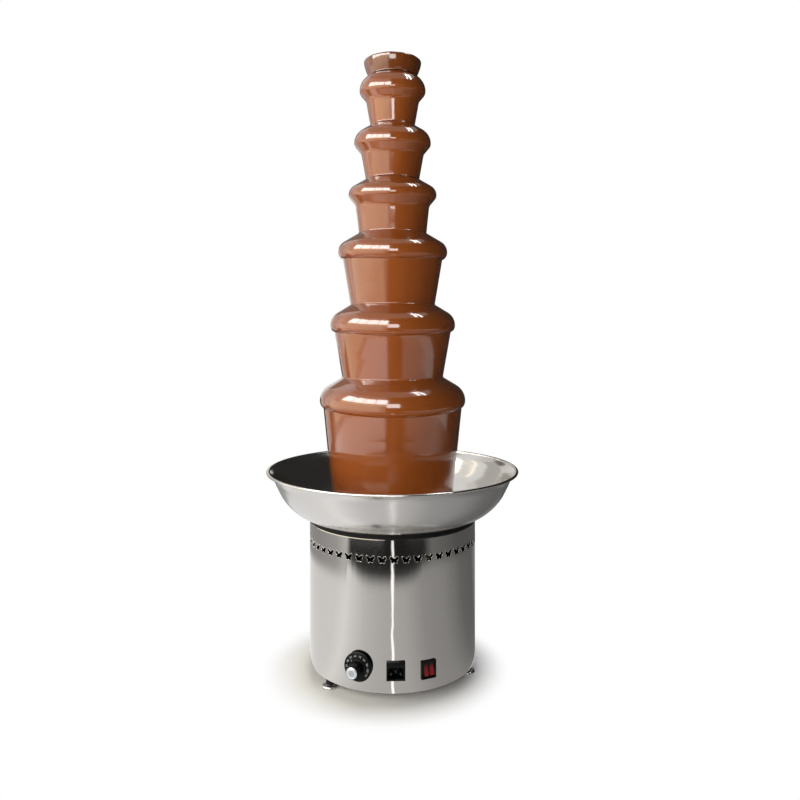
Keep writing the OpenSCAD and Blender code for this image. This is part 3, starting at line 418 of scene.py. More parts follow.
# %% Smooth line through section points
def runs_between_corners(pts, corner):
    breaks = [0]
    for i in range(1, len(pts) - 1):
        a, b = pts[i] - pts[i - 1], pts[i + 1] - pts[i]
        turn = math.degrees(abs(math.atan2(a[0] * b[1] - a[1] * b[0], float(a @ b))))
        if turn > corner:
            breaks.append(i)
    breaks.append(len(pts) - 1)
    for start, end in zip(breaks, breaks[1:]):
        run = pts[start:end + 1]
        yield [2 * run[0] - run[1]] + run + [2 * run[-1] - run[-2]]


def smooth_line(points, step, corner=35.0):
    pts = [np.array(p, float) for p in points]
    out = [tuple(pts[0])]
    for run in runs_between_corners(pts, corner):
        for p0, p1, p2, p3 in zip(run, run[1:], run[2:], run[3:]):
            pairs = ((p0, p1), (p1, p2), (p2, p3))
            t0, t1, t2 = (max(np.linalg.norm(b - a), 1e-6) ** 0.5 for a, b in pairs)
            m1 = t1 * ((p1 - p0) / t0 - (p2 - p0) / (t0 + t1)) + (p2 - p1)
            m2 = t1 * ((p3 - p2) / t2 - (p3 - p1) / (t1 + t2)) + (p2 - p1)
            cuts = max(1, round(np.linalg.norm(p2 - p1) / step))
            for j in range(1, cuts + 1):
                u = j / cuts
                h = ((2 * u - 3) * u * u + 1, ((u - 2) * u + 1) * u,
                     (3 - 2 * u) * u * u, (u - 1) * u * u)
                out.append(tuple(h[0] * p1 + h[1] * m1 + h[2] * p2 + h[3] * m2))
    return out


bowl_line = smooth_line(bowl_walk + bowl_walk[:1], 2.0, 40.0)[:-1]
print(f"the bowl's smooth line has {len(bowl_line)} points")


# %% [markdown]
# Turning is done in code rather than with a Screw modifier, so that each point can be pushed in or
# out by a ripple that depends on its height and on the angle round the column.

# %% Turn a section into a mesh
def turned(name, line, closed, segments=224, ripple=None):
    line = np.array(line, float)
    angle = np.arange(segments) * 2 * math.pi / segments
    radius = np.repeat(line[:, :1], segments, axis=1)
    height = np.repeat(line[:, 1:], segments, axis=1)
    if ripple is not None:
        dr, dz = ripple(radius, height, angle[None, :])
        radius, height = np.maximum(radius + dr, 0), height + dz
    spots = np.stack([radius * np.cos(angle), radius * np.sin(angle), height], axis=2)
    rows = len(line) if closed else len(line) - 1
    faces = []
    for i in range(rows):
        low, high = i * segments, (i + 1) % len(line) * segments
        for j in range(segments):
            k = (j + 1) % segments
            faces.append((low + j, high + j, high + k, low + k))
    mesh = bpy.data.meshes.new(name)
    mesh.from_pydata((spots.reshape(-1, 3) / MM).tolist(), [], faces)
    welded = bmesh.new()
    welded.from_mesh(mesh)
    bmesh.ops.remove_doubles(welded, verts=welded.verts, dist=NEARLY)
    bmesh.ops.recalc_face_normals(welded, faces=welded.faces)
    welded.to_mesh(mesh)
    welded.free()
    mesh.shade_smooth()
    return mesh


def add_piece(name, mesh, finish, body, *stands_for):
    piece = bpy.data.objects.new(name, mesh)
    bpy.context.scene.collection.objects.link(piece)
    mesh.materials.append(finishes[finish])
    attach(piece, body)
    if stands_for:
        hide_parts(*stands_for)
    print(f"{name}: {len(mesh.polygons)} faces, rides on {body}")


print(f"turned meshes are welded within {MM * NEARLY:.3f} mm")

# %% [markdown]
# ## Falling chocolate
# Each tier carries a film that swells over the lip, tucks in under it and falls as a curtain to
# the next dome. The solid has that section. What it lacks is the slight unevenness of a running
# liquid, so the section is turned with a ripple: nine waves round the column, drawn from a seeded
# generator. The front of each lip also hangs a little, as the lips in the photograph do.

# %% Unevenness of a running liquid
WAVES = 9
HANG_FROM_LIP = (-52, -14, -5, 4, 14, 30)  # millimetres above the lip
HANG_SHARE = (0, 1, 1, 0.85, 0.55, 0)
FULL_RIPPLE_R = 20
draws = np.random.default_rng(7)


def running(amount, lip=0.0, hang=0.0):
    counts = draws.integers(3, 19, WAVES)
    phases = draws.uniform(0, 2 * math.pi, WAVES)
    leans = draws.uniform(-0.02, 0.02, WAVES)
    sizes = draws.uniform(0.3, 1.0, WAVES) * amount / 3

    def ripple(radius, height, angle):
        push = sum(s * np.sin(n * angle + p + k * height)
                   for s, n, p, k in zip(sizes, counts, phases, leans))
        front = np.maximum(0, -np.sin(angle)) ** 2
        share = np.interp(height - lip, HANG_FROM_LIP, HANG_SHARE)
        return push * np.minimum(1, radius / FULL_RIPPLE_R), -hang * front * share

    return ripple


print(f"ripples of {WAVES} waves each")


# %% [markdown]
# Two more forms are added to the section. Where a curtain runs into the dome below, a small round
# catches a bright line. Under the lips of the lower three tiers the film tucks in sharply, so the
# lip becomes a bead, part of an ellipse, that meets the curtain in a crease.

# %% Landing and crease of a curtain
LANDING_STEPS, BEAD_STEPS = 8, 40
BEAD_TURN = 2.2  # degrees
BEAD_WIDE, BEAD_TALL = 8.5, 11.0  # millimetres


def landed(line, slope, size):
    end = np.array(line[-1])
    up = np.array(line[-1]) - np.array(line[-2])
    up = -up / np.linalg.norm(up)
    out = np.array([math.cos(math.radians(slope)), -math.sin(math.radians(slope))])
    kept = [p for p in line if np.linalg.norm(np.array(p) - end) > size * 1.02]
    for i in range(LANDING_STEPS + 1):
        u = i / LANDING_STEPS
        kept.append(tuple((1 - u) ** 2 * (end + size * up) + 2 * u * (1 - u) * end
                          + u * u * (end + size * out)))
    return kept


def creased(walk, last):
    lip = max(range(last), key=lambda i: walk[i][0])
    (r0, z0), (r1, z1), (r2, z2) = walk[lip], walk[last - 1], walk[last]
    bead = []
    for i in range(1, BEAD_STEPS):
        a = math.radians(BEAD_TURN * i)
        r, z = r0 - BEAD_WIDE + BEAD_WIDE * math.cos(a), z0 - BEAD_TALL * math.sin(a)
        bead.append((r, z))
        if r < r2 + (r1 - r2) * (z - z2) / (z1 - z2):
            break
    return walk[:lip + 1] + bead[1::2] + bead[-1:] + [(r2, z2)]


def outer_end(walk):
    low = min(p[1] for p in walk)
    return next(i for i, p in enumerate(walk) if p[1] < low + 0.01)


print(f"landings of {LANDING_STEPS} steps, beads turned by {BEAD_TURN} degrees a step")

# %% [markdown]
# With these the six curtains are turned. The lowest lands on the level pool and the others on the
# slope of a dome.

# %% Curtains and domes
DOME_SLOPE = 31.0  # degrees
LANDING = 1.4  # millimetres, as are the next three
FALL_STEP, FALL_RIPPLE, FRONT_HANG = 1.1, 0.16, 5.5
TIERS, FIRST_CREASED = 6, 4

for number in range(1, TIERS + 1):
    node = f"chocolate_tier_{number}"
    walk = section(node)
    last = outer_end(walk)
    line = creased(walk, last) if number >= FIRST_CREASED else walk[:last + 1]
    slope = DOME_SLOPE if number < TIERS else 0.0
    outer = landed(smooth_line(line, FALL_STEP), slope, LANDING)
    fall = running(FALL_RIPPLE, max(walk)[1], FRONT_HANG)
    mesh = turned(node + "_flow", outer + walk[last + 1:], True, ripple=fall)
    add_piece(node + "_flow", mesh, "milk_chocolate", "fountain", node)

# %% [markdown]
# The crown is where the auger pushes the chocolate out. From the photograph only its rim shows,
# but from above there is a slow swell that turns with the auger, so the top gets a shallow spiral.
# Its side tapers in a curve from the rim to the dome below.

# %% Crown
TAPER, TAPER_STEPS, TOP_POINTS = 1.5, 6, 30
CROWN_STEP, CROWN_RIPPLE = 0.8, 0.2  # millimetres, as is the next line
SWELL_REACH, SWELL_DIP, RIM_DIP = 3.0, 0.9, 0.7
SPIRAL_ARMS, SPIRAL_TURN = 2, 9
walk = section("chocolate_crown")
last = outer_end(walk)
crown_top = max(p[1] for p in walk)
crown_r = max(p[0] for p in walk)
rim = [p for p in walk[:last + 1] if p[1] < crown_top - 0.01 or p[0] > 1]
wide = max(range(len(rim)), key=lambda i: rim[i][0])
(r0, z0), (r1, z1) = rim[wide], rim[-1]
shares = [i / TAPER_STEPS for i in range(1, TAPER_STEPS + 1)]
rim = rim[:wide + 1] + [(r0 + (r1 - r0) * u ** TAPER, z0 + (z1 - z0) * u) for u in shares]
flat = [(r, crown_top) for r in np.linspace(0.0, rim[0][0], TOP_POINTS)[:-1]]
outer = flat + landed(smooth_line(rim, CROWN_STEP), DOME_SLOPE, LANDING)
edge = running(CROWN_RIPPLE)


def swell(radius, height, angle):
    dr, dz = edge(radius, height, angle)
    on_top = np.clip((height - crown_top + SWELL_REACH) / SWELL_REACH, 0, 1) ** 2
    share = np.clip(radius / crown_r, 0, 1)
    spiral = np.sin(SPIRAL_ARMS * angle + SPIRAL_TURN * share)
    dip = 0.5 + 0.5 * spiral * share * (1 - share) * 4
    rim_wave = 0.5 + 0.5 * np.sin(5 * angle + 1.0) * np.sin(3 * angle)
    return dr, -on_top * (SWELL_DIP * dip * (1 - share) + RIM_DIP * rim_wave * share)


mesh = turned("chocolate_crown_flow", outer + walk[last + 1:], True, ripple=swell)
add_piece("chocolate_crown_flow", mesh, "milk_chocolate", "fountain", "chocolate_crown")

# %% [markdown]
# ## The pool in the bowl
# The last curtain runs into a shallow pool. The solid's pool has a dead flat top. The liquid
# stands a little higher where the curtain pushes into it, in two or three soft rings, and creeps
# up at the shore.

# %% Pool
RINGS_R, RINGS_WIDE, RINGS_HIGH = 97, 16, 0.45  # millimetres, as is the next line
CREST_R, CREST_STEP, SHORE_WIDE, SHORE_HIGH = 95, 3.4, 1.6, 0.5
POOL_POINTS, POOL_RIPPLE = 130, 0.1
walk = section("chocolate_pool")
pool_z = max(p[1] for p in walk)
pool_out = max(p[0] for p in walk)
pool_in = min(p[0] for p in walk)


def pool_height(r):
    crests = math.cos((r - CREST_R) / CREST_STEP)
    rings = math.exp(-((r - RINGS_R) / RINGS_WIDE) ** 2) * crests * RINGS_HIGH
    return pool_z - SHORE_HIGH + rings + SHORE_HIGH * math.exp(-(pool_out - r) / SHORE_WIDE)


under = sorted((p for p in walk if p[1] < pool_z - 0.01), key=lambda p: -p[0])
line = [(r, pool_height(r)) for r in np.linspace(pool_in, pool_out, POOL_POINTS)] + under
mesh = turned("chocolate_pool_surface", line, True, ripple=running(POOL_RIPPLE))
add_piece("chocolate_pool_surface", mesh, "milk_chocolate", "fountain", "chocolate_pool")
print(f"pool: from {pool_in:.1f} to {pool_out:.1f} mm, at {pool_z:.1f} mm")

# %% [markdown]
# ## The bowl
# The bowl is spun from sheet, with a big soft corner and a rolled rim. The solid's corner is a row
# of straight steps, which a polished surface would show as bands, so the same section is turned
# again with a smooth line.

# %% Bowl
mesh = turned("bowl_spun", bowl_line, True, segments=288)
add_piece("bowl_spun", mesh, "polished_bowl", "fountain", "bowl")


# %% [markdown]
# ## Edges that catch the light
# Moulded pieces never have knife edges. A copy of the solid's mesh is welded, its flat faces are
# joined up, and its sharp edges are rounded by a few tenths of a millimetre. The copy then stands
# for the solid.

# %% Rounded copies of solids
def softened(node, width, finish, body, corner=30.0):
    shape = bmesh.new()
    shape.from_mesh(solids[node].data)
    bmesh.ops.remove_doubles(shape, verts=shape.verts, dist=NEARLY)
    bmesh.ops.dissolve_limit(shape, angle_limit=math.radians(1.0), verts=shape.verts,
                             edges=shape.edges)
    sharp = [e for e in shape.edges
             if e.is_manifold and e.calc_face_angle() > math.radians(corner)]
    bmesh.ops.bevel(shape, geom=sharp, offset=width / MM, segments=3, profile=0.5,
                    affect="EDGES", clamp_overlap=True)
    mesh = bpy.data.meshes.new(node + "_soft")
    shape.to_mesh(mesh)
    shape.free()
    mesh.shade_smooth()
    mesh.set_sharp_from_angle(angle=math.radians(40))
    add_piece(node + "_soft", mesh, finish, body, node)


ROUNDED = (  # solid, width of its rounds in millimetres, finish, body
    ("inlet_socket", 0.5, "black_plastic", "fountain"),
    ("switch_housing", 0.5, "black_plastic", "fountain"),
    ("rocker_left", 0.35, "red_rocker", "left_rocker"),
    ("rocker_right", 0.35, "red_rocker", "right_rocker"),
    ("inlet_pins", 0.3, "pin_nickel", "fountain"),
)
for row in ROUNDED:
    softened(*row)


# %% [markdown]
# ## Rolled vent edges
# The butterfly vents are stamped, and the stamp leaves a small rolled edge that shows as a bright
# outline. It could be a bevel on the drum, but that would cut up the brushed wall. The edges of
# each vent are found on the solid instead, where the outer wall meets the cut.

# %% Find the vent edges
def edge_loops(node, keep):
    shape = bmesh.new()
    shape.from_mesh(solids[node].data)
    bmesh.ops.remove_doubles(shape, verts=shape.verts, dist=NEARLY)
    ways = {}
    for edge in shape.edges:
        sharp = edge.is_manifold and edge.calc_face_angle() > math.radians(40)
        if sharp and all(keep(v.co) for v in edge.verts):
            a, b = edge.verts
            ways.setdefault(a, []).append(b)
            ways.setdefault(b, []).append(a)
    loops, done = [], set()
    for start in ways:
        loop, here = [], start
        while here is not None and here not in done:
            done.add(here)
            loop.append(tuple(here.co))
            here = next((w for w in ways[here] if w not in done), None)
        if len(loop) > 4:
            loops.append(np.array(loop))
    shape.free()
    return loops


DRUM_R = 132.0  # millimetres
VENTS_LOW, VENTS_HIGH = 0.195, 0.222  # metres


def at_vents(p):
    return math.hypot(p.x, p.y) > (DRUM_R - 0.4) / MM and VENTS_LOW < p.z < VENTS_HIGH


vents = edge_loops("base_shell", at_vents)
print(f"{len(vents)} vent edges")


# %% [markdown]
# A thin round wire is then laid along each edge, a little outside the cut. It is swept in code,
# because every ring of it has to stand square to the drum's wall.

# %% Lay a wire along each edge
def wire_along(name, loops, crown_shade_mask, outside_by, sides=6):
    spots, faces = [], []
    for ring in loops:
        onward = np.roll(ring, -1, axis=0) - np.roll(ring, 1, axis=0)
        out = ring * (1, 1, 0)
        out /= np.linalg.norm(out, axis=1)[:, None]
        across = np.cross(onward / np.linalg.norm(onward, axis=1)[:, None], out)
        outward = np.sign(np.sum(across * (ring - ring.mean(axis=0))))
        ring = ring + outside_by / MM * outward * across
        first, count = len(spots), len(ring)
        for k in range(sides):
            turn = 2 * math.pi * k / sides
            spoke = math.cos(turn) * out + math.sin(turn) * across
            spots.extend((ring + crown_shade_mask / MM * spoke).tolist())
        for k in range(sides):
            a, b = first + k * count, first + (k + 1) % sides * count
            faces += [(a + i, a + (i + 1) % count, b + (i + 1) % count, b + i)
                      for i in range(count)]
    mesh = bpy.data.meshes.new(name)
    mesh.from_pydata(spots, [], faces)
    mesh.shade_smooth()
    return mesh


EDGE_THICK, EDGE_OUTSIDE = 0.22, 0.3  # millimetres
mesh = wire_along("vent_edges", vents, EDGE_THICK, EDGE_OUTSIDE)
add_piece("vent_edges", mesh, "tower_steel", "fountain")

# %% [markdown]
# ## The thermostat dial
# A moulded knob: a thin skirt with numbers, a fluted grip and a silver cap pressed into its end.
# All three are turned shapes, so they are made upright with the same turning code, with the flutes
# as its ripple, and then laid over onto the drum's wall. Working in the dial's own axes keeps its
# sizes readable in millimetres from the wall.

# %% Dial grip
DIAL_YAW, DIAL_UP = -23.5, 53.0
SKIRT_BACK, SKIRT_FRONT, GRIP_END, CAP_END = 2.6, 7.0, 25.0, 26.5
FLUTES, FLUTE_DEEP = 18, 0.85
FLUTE_START, FLUTE_FADE = 1.4, 0.8  # along the grip
FLUTE_R, FLUTE_R_FADE = 8.6, 0.6  # out from its axis


def on_dial_seat(mesh):
    a = math.radians(DIAL_YAW)
    out = Vector((math.sin(a), -math.cos(a), 0))
    right = Vector((math.cos(a), math.sin(a), 0))
    seat = DRUM_R / MM * out + Vector((0, 0, DIAL_UP / MM))
    axes = Matrix((right, Vector(UP), out)).transposed().to_4x4()
    mesh.transform(Matrix.Translation(seat) @ axes)
    return mesh


def fluted(radius, height, angle):
    on_grip = np.clip((height - SKIRT_FRONT - FLUTE_START) / FLUTE_FADE, 0, 1)
    on_side = np.clip((radius - FLUTE_R) / FLUTE_R_FADE, 0, 1)
    scoop = np.clip(np.cos(FLUTES * angle), -0.2, 1) ** 2
    return -FLUTE_DEEP * (on_grip * on_side) * scoop, 0 * height


knob = [(4.6, SKIRT_BACK), (20.2, SKIRT_BACK), (20.8, 2.9), (21.0, 3.5), (21.0, 4.9), (20.8, 5.5),
        (20.2, 5.9), (19.6, 6.1), (17.0, 6.6), (13.4, SKIRT_FRONT), (11.7, SKIRT_FRONT + 0.1),
        (10.8, 7.5), (10.5, 8.3)]
knob += [(10.5 - 0.5 * k / 20, 8.3 + k * 0.765) for k in range(1, 21)]
knob += [(9.8, 24.2), (9.4, 24.7), (8.8, GRIP_END), (0.0, GRIP_END), (0.0, 23.1), (4.6, 23.1)]
mesh = on_dial_seat(turned("dial_grip", knob, True, segments=360, ripple=fluted))
mesh.set_sharp_from_angle(angle=math.radians(50))
add_piece("dial_grip", mesh, "black_plastic", "dial", "dial_knob")

# %% [markdown]
# The cap is a pressed disc with a shallow groove inside its rim. A plain grey disc in its middle
# breaks up the silver. It could be a piece of its own, but it has no thickness, so the faces near
# the axis just get a second finish.

# %% Dial cap
GREY_R = 0.0042  # metres
cap = [(0, CAP_END), (5.9, CAP_END), (6.3, 26.25), (6.7, CAP_END), (7.5, 26.45), (8.0, 26.2),
       (8.25, 25.7), (8.25, GRIP_END), (0, GRIP_END)]
mesh = on_dial_seat(turned("dial_end_cap", smooth_line(cap, 0.25, 60.0), False, segments=128))
add_piece("dial_end_cap", mesh, "silver_cap", "dial", "dial_cap")
mesh.materials.append(finishes["number_grey"])
yaw = math.radians(DIAL_YAW)
for face in mesh.polygons:
    across = face.center.x * math.cos(yaw) + face.center.y * math.sin(yaw)
    from_axis = math.hypot(across, face.center.z - DIAL_UP / MM)
    face.material_index = int(from_axis < GREY_R)
print(f"grey disc: {2 * MM * GREY_R:.1f} mm across")

# %% [markdown]
# The numbers are printed on the skirt, from nine o'clock over the top to four o'clock. Plain text
# objects could stay as they are, but a mesh travels better, so each number is turned into a thin
# mesh and laid round the skirt with its head outward. A short bar by the grip marks where the
# setting is read.

# %% Dial numbers
NUMBERS = range(30, 120, 10)
NUMBER_R, NUMBER_Z, NUMBER_HIGH, PRINT_DEEP = 16.3, 6.74, 4.3, 0.12  # millimetres
FIRST_AT, SPREAD, SKIRT_LEAN, MARK_AT = 180, 210, -5.8, 135  # degrees
MARK_SPOT, MARK_SIZE = (12.3, 0, 7.05), (2.2, 1.0, 0.24, 1)


def number_mesh(words):
    letters = bpy.data.curves.new("letters", "FONT")
    letters.body, letters.size, letters.extrude = words, NUMBER_HIGH, PRINT_DEEP
    letters.align_x, letters.align_y = "CENTER", "CENTER"
    holder = bpy.data.objects.new("letters", letters)
    mesh = bpy.data.meshes.new_from_object(holder)
    bpy.data.objects.remove(holder)
    return mesh


print_on = bmesh.new()
for place_no, degrees in enumerate(NUMBERS):
    clock = math.radians(FIRST_AT - SPREAD * place_no / (len(NUMBERS) - 1))
    mesh = number_mesh(str(degrees))
    spot = Matrix.Translation((NUMBER_R * math.cos(clock), NUMBER_R * math.sin(clock), NUMBER_Z))
    turn = Matrix.Rotation(clock - math.pi / 2, 4, "Z")
    mesh.transform(spot @ turn @ Matrix.Rotation(math.radians(SKIRT_LEAN), 4, "X"))
    print_on.from_mesh(mesh)
mark = Matrix.Translation(MARK_SPOT) @ Matrix.Diagonal(MARK_SIZE)
bmesh.ops.create_cube(print_on, size=1.0,
                      matrix=Matrix.Rotation(math.radians(MARK_AT), 4, "Z") @ mark)
numbers = bpy.data.meshes.new("dial_numbers")
print_on.to_mesh(numbers)
print_on.free()
numbers.transform(Matrix.Scale(1 / MM, 4))
add_piece("dial_numbers", on_dial_seat(numbers), "number_grey", "dial")

# %% [markdown]
# ## Levelling feet
# Each foot is a round chromed pad on a threaded stud, with a black rubber neck between them. The
# pad could stay a solid of revolution, but a thread is what says that the foot can be screwed in
# and out. A thread is a ripple that climbs as it goes round, so the turning code makes it too.

# %% Feet
THREAD_PITCH, THREAD_DEEP, STUD_R = 1.25, 0.55, 4.0  # millimetres, as are the next two
THREAD_START, THREAD_FADE, THREAD_STEP = 0.3, 0.6, 0.16
NECK_FOOT, NECK_TOP = 5.3, 14.5
pad = [(0, 0), (10.6, 0), (11.4, 0.2), (11.9, 0.8), (12.0, 1.6), (11.8, 2.6), (11.2, 3.5),
       (10.2, 4.2), (8.6, 4.7), (7.2, 4.9), (6.4, 5.1), (5.9, 5.5)]
neck = [(5.5, 6.2), (5.5, NECK_TOP - 0.6), (5.0, NECK_TOP), (STUD_R, NECK_TOP + 0.1)]
rounded = [(r, max(z, 0.0)) for r, z in smooth_line(pad, 0.35, 50.0)]


def threaded(radius, height, angle):
    on_stud = np.clip((height - NECK_TOP - THREAD_START) / THREAD_FADE, 0, 1)
    on_stud *= np.clip((radius - STUD_R / 2) * 2, 0, 1)
    climb = (height / THREAD_PITCH - angle / (2 * math.pi)) % 1.0
    return -THREAD_DEEP * on_stud * np.abs(2 * climb - 1), 0 * height


for number in (1, 2, 3):
    low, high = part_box(f"foot_{number}")
    top = MM * high.z
    stud = [(STUD_R, z) for z in np.arange(NECK_TOP + THREAD_START, top - 0.9, THREAD_STEP)]
    stud += [(STUD_R, top - 0.8), (3.3, top), (0, top)]
    mesh = turned(f"foot_{number}_turned", rounded + neck + stud, False, segments=72,
                  ripple=threaded)
    mesh.set_sharp_from_angle(angle=math.radians(45))
    mesh.transform(Matrix.Translation(((low.x + high.x) / 2, (low.y + high.y) / 2, 0)))
    add_piece(f"foot_{number}_turned", mesh, "foot_chrome", f"levelling_foot_{number}",
              f"foot_{number}")
    mesh.materials.append(finishes["black_rubber"])
    for face in mesh.polygons:
        face.material_index = int(NECK_FOOT / MM < face.center.z < NECK_TOP / MM)

# %% [markdown]
# ## The studio
# A pale floor and a white surround, as on a shop page. The surround is white to the camera and in
# reflections, and gives only a part of that as light.

# %% Floor and surround
FILL = 0.045
FLOOR = 6  # metres from the middle to each side


def seen_rays(tree):
    rays = tree.nodes.new("ShaderNodeLightPath").outputs
    seen = sum(Wire(tree, rays[f"Is {kind} Ray"]) for kind in ("Camera", "Glossy", "Transmission"))
    return seen.sum("MINIMUM", seen, 1.0)


world = bpy.data.worlds.new("studio")
bpy.context.scene.world = world
world.use_nodes = True
tree = world.node_tree
tree.links.new((FILL + (1 - FILL) * seen_rays(tree)).socket,
               tree.nodes["Background"].inputs["Strength"])
tree.nodes["Background"].inputs["Color"].default_value = (1, 1, 1, 1)

mesh = bpy.data.meshes.new("floor")
corners = [(-FLOOR, -FLOOR, 0), (FLOOR, -FLOOR, 0), (FLOOR, FLOOR, 0), (-FLOOR, FLOOR, 0)]
mesh.from_pydata(corners, [], [(0, 1, 2, 3)])
floor = bpy.data.objects.new("floor", mesh)
bpy.context.scene.collection.objects.link(floor)
floor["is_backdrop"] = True
print(f"floor of {2 * FLOOR} m and a surround that gives {FILL} of its white as light")

# %% [markdown]
# The floor keeps the soft shadow at the fountain's foot. Further out it could be lit to white, but
# that would take more light than the fountain can bear. So it fades into a white of its own, which
# only the camera and reflections see.

# %% Floor finish
SHADE_ASIDE = (0.012, 0.0, 0.0)  # metres
SHADE_R, WHITE_R = 0.125, 0.2

place = start_finish("studio_floor", base_color=(0.9, 0.9, 0.9, 1), roughness=0.9)
tree = finishes["studio_floor"].node_tree
white = eased(distance(place + SHADE_ASIDE), SHADE_R, WHITE_R)
glow = white.node("ShaderNodeEmission", None, {"Color": (1, 1, 1, 1)})
shaded = Wire(tree, tree.nodes["Principled BSDF"].outputs[0])
both = white.node("ShaderNodeMixShader", None, {0: white * seen_rays(tree), 1: shaded, 2: glow})
tree.links.new(both.socket, tree.nodes["Material Output"].inputs["Surface"])
floor.data.materials.append(finishes["studio_floor"])
print(f"shadow kept within {SHADE_R} m, white from {WHITE_R} m")


# %% [markdown]
# ## Flags
# Mirror-like things show the room, and in an all-white room chocolate and steel look flat. A
# photographer sets up flags outside the picture. They could be lit boards, but a card that glows by
# itself has a brightness that can be written down. So a flag is a curved card round the column,
# which only reflections can see.

# %% Cards for the reflections
def card(name, from_angle, to_angle, start, end, finish, steps=48):
    spots, faces = [], []
    for i in range(steps + 1):
        a = math.radians(from_angle + (to_angle - from_angle) * i / steps)
        for r, z in (start, end):
            spots.append((r * math.sin(a), -r * math.cos(a), z))
        if i:
            faces.append((2 * i - 2, 2 * i - 1, 2 * i + 1, 2 * i))
    mesh = bpy.data.meshes.new(name)
    mesh.from_pydata(spots, [], faces)
    mesh.materials.append(finishes[finish])
    thing = bpy.data.objects.new(name, mesh)
    thing.rotation_euler = (0, 0, ROUND_BY)
    bpy.context.scene.collection.objects.link(thing)
    thing.visible_camera = thing.visible_diffuse = thing.visible_shadow = False
    thing.visible_transmission = thing.visible_volume_scatter = False
    thing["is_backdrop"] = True


def glowing_finish(name, strength, tone=(0, 0, 0)):
    return start_finish(name, base_color=(0, 0, 0, 1), specular_ior_level=0.0,
                        emission_strength=strength, emission_color=(*tone, 1))


print("cards: hidden from the camera, from diffuse light and from shadows")

# %% [markdown]
# Dark flags stand all along the right, where the photograph's reflections are dark. Paler ones
# stand on the far left and at the back, some in two or three heights, and a grey one lies overhead.
# All are slightly warm.

# %% Standing flags
SHADES = {"dark_flag": 0.03, "dim_flag": 0.2, "grey_flag": 0.6, "pale_flag": 0.85,
          "white_flag": 1.05}
for name, shade in SHADES.items():
    glowing_finish(name, 1.0, (shade, shade * 0.97, shade * 0.92))

NEAR_R, FAR_R, TOP = 1.5, 1.6, 2.6  # metres
FLAGS = (  # card, from and to degrees round the column, distance, from and to height, finish
    ("flag_right", -10, 100, NEAR_R, 0.1, TOP, "dark_flag"),
    ("flag_far_right", 100, 178, NEAR_R, 0.0, TOP, "dark_flag"),
    ("flag_far_left", -150, -124, FAR_R, 0.0, 1.35, "grey_flag"),
    ("flag_far_left_high", -150, -124, FAR_R, 1.35, 1.75, "pale_flag"),
    ("flag_back_low", -182, -150, FAR_R, 0.0, 0.38, "dark_flag"),
    ("flag_back_pale", -182, -150, FAR_R, 0.38, 0.95, "pale_flag"),
    ("flag_back_high", -182, -150, FAR_R, 0.95, TOP, "dim_flag"),
)
for name, from_angle, to_angle, away, foot, top, finish in FLAGS:
    card(name, from_angle, to_angle, (away, foot), (away, top), finish)
card("flag_top", -180, 180, (0.0, TOP), (FAR_R, TOP), "grey_flag", 72)
print(f"flags: {len(FLAGS)} standing, one overhead")

# %% [markdown]
# The flag on the floor is painted in four rings. Close to the drum it is pale on the left and
# darker and darker towards the right, as the fountain's own shade. The next ring is nearly black
# in front, which gives the dark patch at the top of the drum and the dark line under each lip. Its
# inner edge bows outward to the sides, so that the patch is round. The third ring is bright on the
# left, under the windows, and the last is bright on the right. One thin bright stripe sways towards
# the camera. The angle round the column and the distance from it are all that the paint needs.

# %% Paint in rings
BOW_MIDDLE, BOW_HALF, BOW_END = (math.radians(d) for d in (-8, 46, -58))
SWAY, SWAY_SCALE = 0.11, 9.0
STRIPE_HALF, STRIPE_END, STRIPE_GREY = math.radians(1.15), 1.0, 0.9


def painted(name, strength, rings):
    place = glowing_finish(name, strength)
    x = place.node("ShaderNodeSeparateXYZ", None, {0: place})
    y = Wire(x.tree, x.socket.node.outputs[1])
    angle = x.sum("ARCTAN2", x, 0 - y)
    turn = angle / (2 * math.pi) + 0.5
    away = distance(place)
    bow = angle.sum("MINIMUM", ((angle - BOW_MIDDLE) / BOW_HALF) ** 4, 1.0)
    bow = bow * angle.sum("GREATER_THAN", angle, BOW_END)
    paint = None
    for start, end, bend, stops in rings:
        stops = [(0.5 + degrees / 360, grey / strength) for degrees, grey in stops]
        ring = turn.node("ShaderNodeValToRGB", {"stops": stops}, {"Fac": turn})
        paint = blend(eased(away - bend * bow, start, end), paint, ring) if paint else ring
    sway = SWAY * (grain(place, EVEN, SWAY_SCALE, 1.0) - 0.5)
    stripe = angle.sum("LESS_THAN", angle.sum("ABSOLUTE", angle + sway), STRIPE_HALF)
    stripe = stripe * away.sum("LESS_THAN", away, STRIPE_END)
    feed(name, emission_color=blend(stripe, paint, (STRIPE_GREY, STRIPE_GREY, STRIPE_GREY, 1)))


print(f"stripe: {2 * math.degrees(STRIPE_HALF):.1f} degrees wide, {STRIPE_END} m long")

# %% [markdown]
# Each ring's paint is a list of places round the column, in degrees with 0 towards the camera, and
# the brightness there. Between two places the brightness changes evenly.

